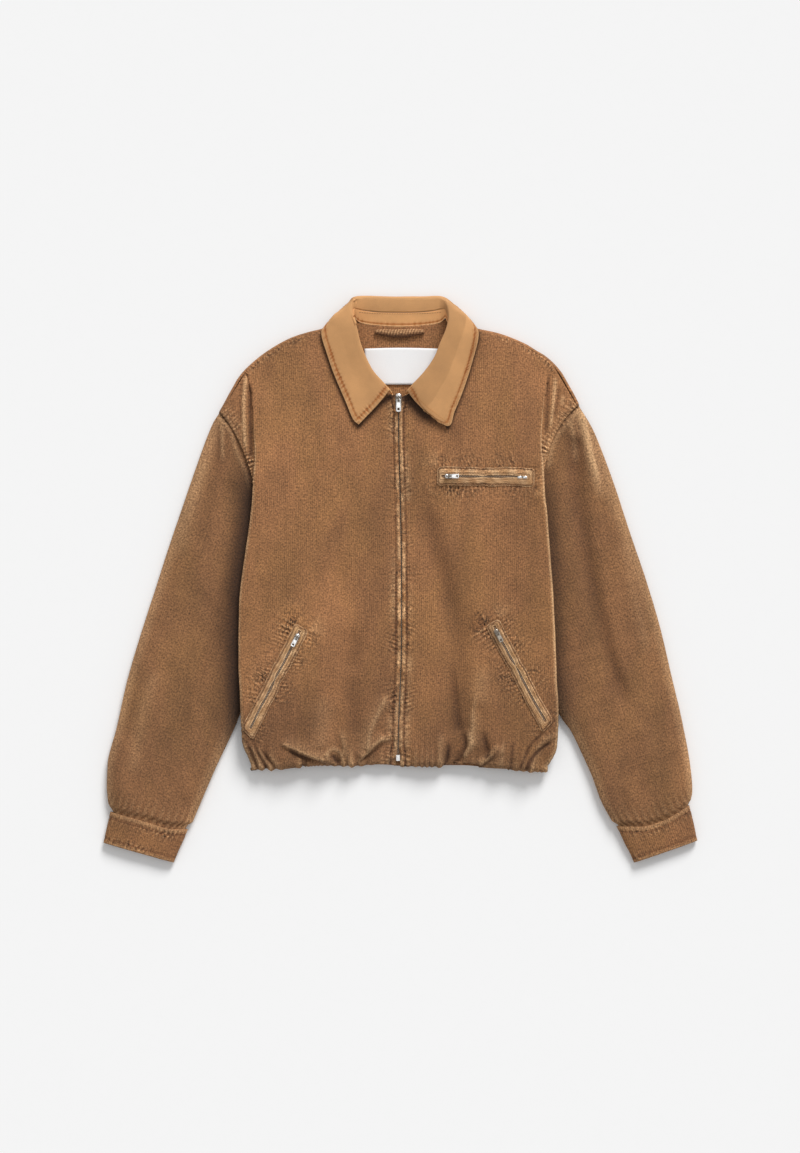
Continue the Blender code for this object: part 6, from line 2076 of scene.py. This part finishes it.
@dataclass(frozen=True)
class Runner:
    """A zip's slider as it stands and its pull, which swings."""

    name: str
    place: Matrix  # its frame: the slider lies along Y, its upper end first
    width: float = 6.6
    length: float = 10.0
    axis: float = 1.5  # height of the pull's axis over the frame
    tab: tuple[float, float, float] = (6.0, 12.5, 1.0)  # width, length and thickness of the pull
    finish: Finish = NICKEL

    def build(self) -> None:
        """Dresses the slider, caps it, and cuts its pull."""
        # the slider's body takes the darker copy of the nickel as painted shade of its sides
        dress_metal(f"{self.name}_slider", SHADED_NICKEL)
        cap = Piece(f"{self.name}_slider_cap", self.finish)
        sizes = (((0, self.length / 2 - 2.6, 1.3), (self.width * 0.94, 5.2, 3.4)),
                 ((0, -self.length / 2 + 2.0, 0.2), (self.width * 0.62, 4.0, 1.0)))
        places = [self.place @ Matrix.Translation(Vector(at) * MM)
                  @ Matrix.Diagonal(Vector((*size, 1 / MM)) * MM) for at, size in sizes]
        cap.repeat(bmesh.ops.create_uvsphere, places, u_segments=20, v_segments=12, radius=0.5)
        cap.finished()
        self.pull().finished(0.22)

    def pull(self) -> Piece:
        """The pull: a plate with an opening for its bar and another near its free end."""
        name = f"{self.name}_pull"
        piece = Piece(f"{name}_plate", self.finish, f"{name}_tab", (name,))
        width, length, thick = self.tab
        part = bmesh.new()
        last = len(PULL_ROWS) - 1
        bmesh.ops.create_grid(part, x_segments=3, y_segments=last, size=0.5)
        for vert in part.verts:
            share, outer, inner, _ = PULL_ROWS[round((0.5 - vert.co.y) * last)]
            half = (outer if abs(vert.co.x) > 0.4 else inner) * width / 2
            vert.co = (math.copysign(half, vert.co.x), -share * length, -thick / 2)
        starts = [-share * length for share, _, _, opened in PULL_ROWS if opened]
        holes = [face for face in part.faces if abs(face.calc_center_median().x) < 0.1
                 and any(abs(max(v.co.y for v in face.verts) - start) < 0.01 for start in starts)]
        bmesh.ops.delete(part, geom=holes, context="FACES")
        raised = bmesh.ops.extrude_face_region(part, geom=part.faces[:])["geom"]
        top = [item for item in raised if isinstance(item, bmesh.types.BMVert)]
        bmesh.ops.translate(part, verts=top, vec=(0, 0, thick))
        bmesh.ops.recalc_face_normals(part, faces=part.faces)
        at = self.place @ Matrix.Translation(Vector((0, PULL_AXIS, self.axis)) * MM) @ Matrix.Scale(MM, 4)
        bmesh.ops.transform(part, matrix=at, verts=part.verts)
        piece.take(part)
        return piece


def runners() -> list[Runner]:
    """The sliders of the centre zip and of the pockets."""
    found = [Runner("zip", RIGHT.frame_at(-2.0, 245.0, (0, -1), 1.15), 8.0, 13.0, 1.65, (7.2, 16.5, 1.0))]
    for pocket in POCKETS:
        x, y = (float(value) for value in pocket.at(SLIDER_FROM_START, 0.0))
        finish = DARK_NICKEL if pocket is POCKETS[2] else NICKEL
        place = pocket.side.frame_at(x, y, pocket.course, SLIDER_LIFT)
        found.append(Runner(pocket.name, place, finish=finish))
    return found


def dress_metal(name: str, finish: Finish) -> None:
    """Gives one of the frame's own nodes another material."""
    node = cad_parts[name]
    node.data.materials.clear()
    node.data.materials.append(finish.material())
    LOG.info("%s: dressed", node.name)


# ---- setting


@dataclass(frozen=True)
class Studio:
    """A pale floor, soft light from the upper right and a camera straight above."""

    floor: Colour = (0.9, 0.9, 0.9)
    camera_height: float = 4.356
    centre_y: float = 0.0034
    lens: float = 100.0
    sun: float = 2.92
    sun_angle: float = 24.0
    sun_from: Colour = (0.35, 1.0, 0.62)
    sky: float = 0.5
    softbox: float = 11.0
    softbox_size: float = 1.4
    softbox_height: float = 4.9

    def build(self) -> None:
        """Sets the floor, the light and the camera."""
        scene = bpy.context.scene
        bm = bmesh.new()
        bmesh.ops.create_grid(bm, x_segments=2, y_segments=2, size=4.0)
        mesh = bpy.data.meshes.new("floor")
        bm.to_mesh(mesh)
        bm.free()
        floor = linked("floor", mesh)
        shop = Finishing("floor_paper")
        grain = shop.noise(shop.where(), 60.0)
        paper = shop.brighter(self.floor, 0.995 + grain * 0.01)
        mesh.materials.append(shop.dress(paper, 0.9, Specular_IOR_Level=0.0))
        floor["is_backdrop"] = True
        lamp = bpy.data.lights.new("window", "SUN")
        lamp.energy = self.sun
        lamp.angle = math.radians(self.sun_angle)
        towards = Vector(self.sun_from)
        turn = towards.to_track_quat("Z", "Y").to_matrix().to_4x4()
        linked("window", lamp).matrix_world = Matrix.Translation(towards) @ turn
        lamp = bpy.data.lights.new("softbox", "AREA")
        lamp.energy = self.softbox
        lamp.size = self.softbox_size
        linked("softbox", lamp).location = (0.0, 0.0, self.softbox_height)
        world = bpy.data.worlds.new("sky")
        world.use_nodes = True
        sky = world.node_tree.nodes["Background"]
        sky.inputs["Color"].default_value = (1.0, 1.0, 1.0, 1.0)
        sky.inputs["Strength"].default_value = self.sky
        scene.world = world
        view = bpy.data.cameras.new("camera")
        view.lens = self.lens
        view.sensor_width = 36.0
        view.clip_end = 20.0
        scene.camera = linked("camera", view)
        scene.camera.location = (0.0, self.centre_y, self.camera_height)
        scene.view_settings.view_transform = "Standard"


def main() -> None:
    """Builds the setting, then the jacket from the outside in, and reports each piece."""
    logging.basicConfig(level=logging.INFO, format="%(message)s")
    Studio().build()
    cloth = {}
    for group in (Body(), Sleeves(), Neck(), Pockets(), CentreZip()):
        for piece in group.pieces():
            piece.make()
            cloth[piece.name] = piece
    Sewing().build(cloth)
    dress_metal("zip_stop", NICKEL)
    for runner in runners():
        runner.build()
    bpy.context.view_layer.update()
    boxes = {"cad": CAD_BOX, "visual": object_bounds()}
    {key: [list(corner) for corner in box] for key, box in boxes.items()}


if __name__ == "__main__":
    main()
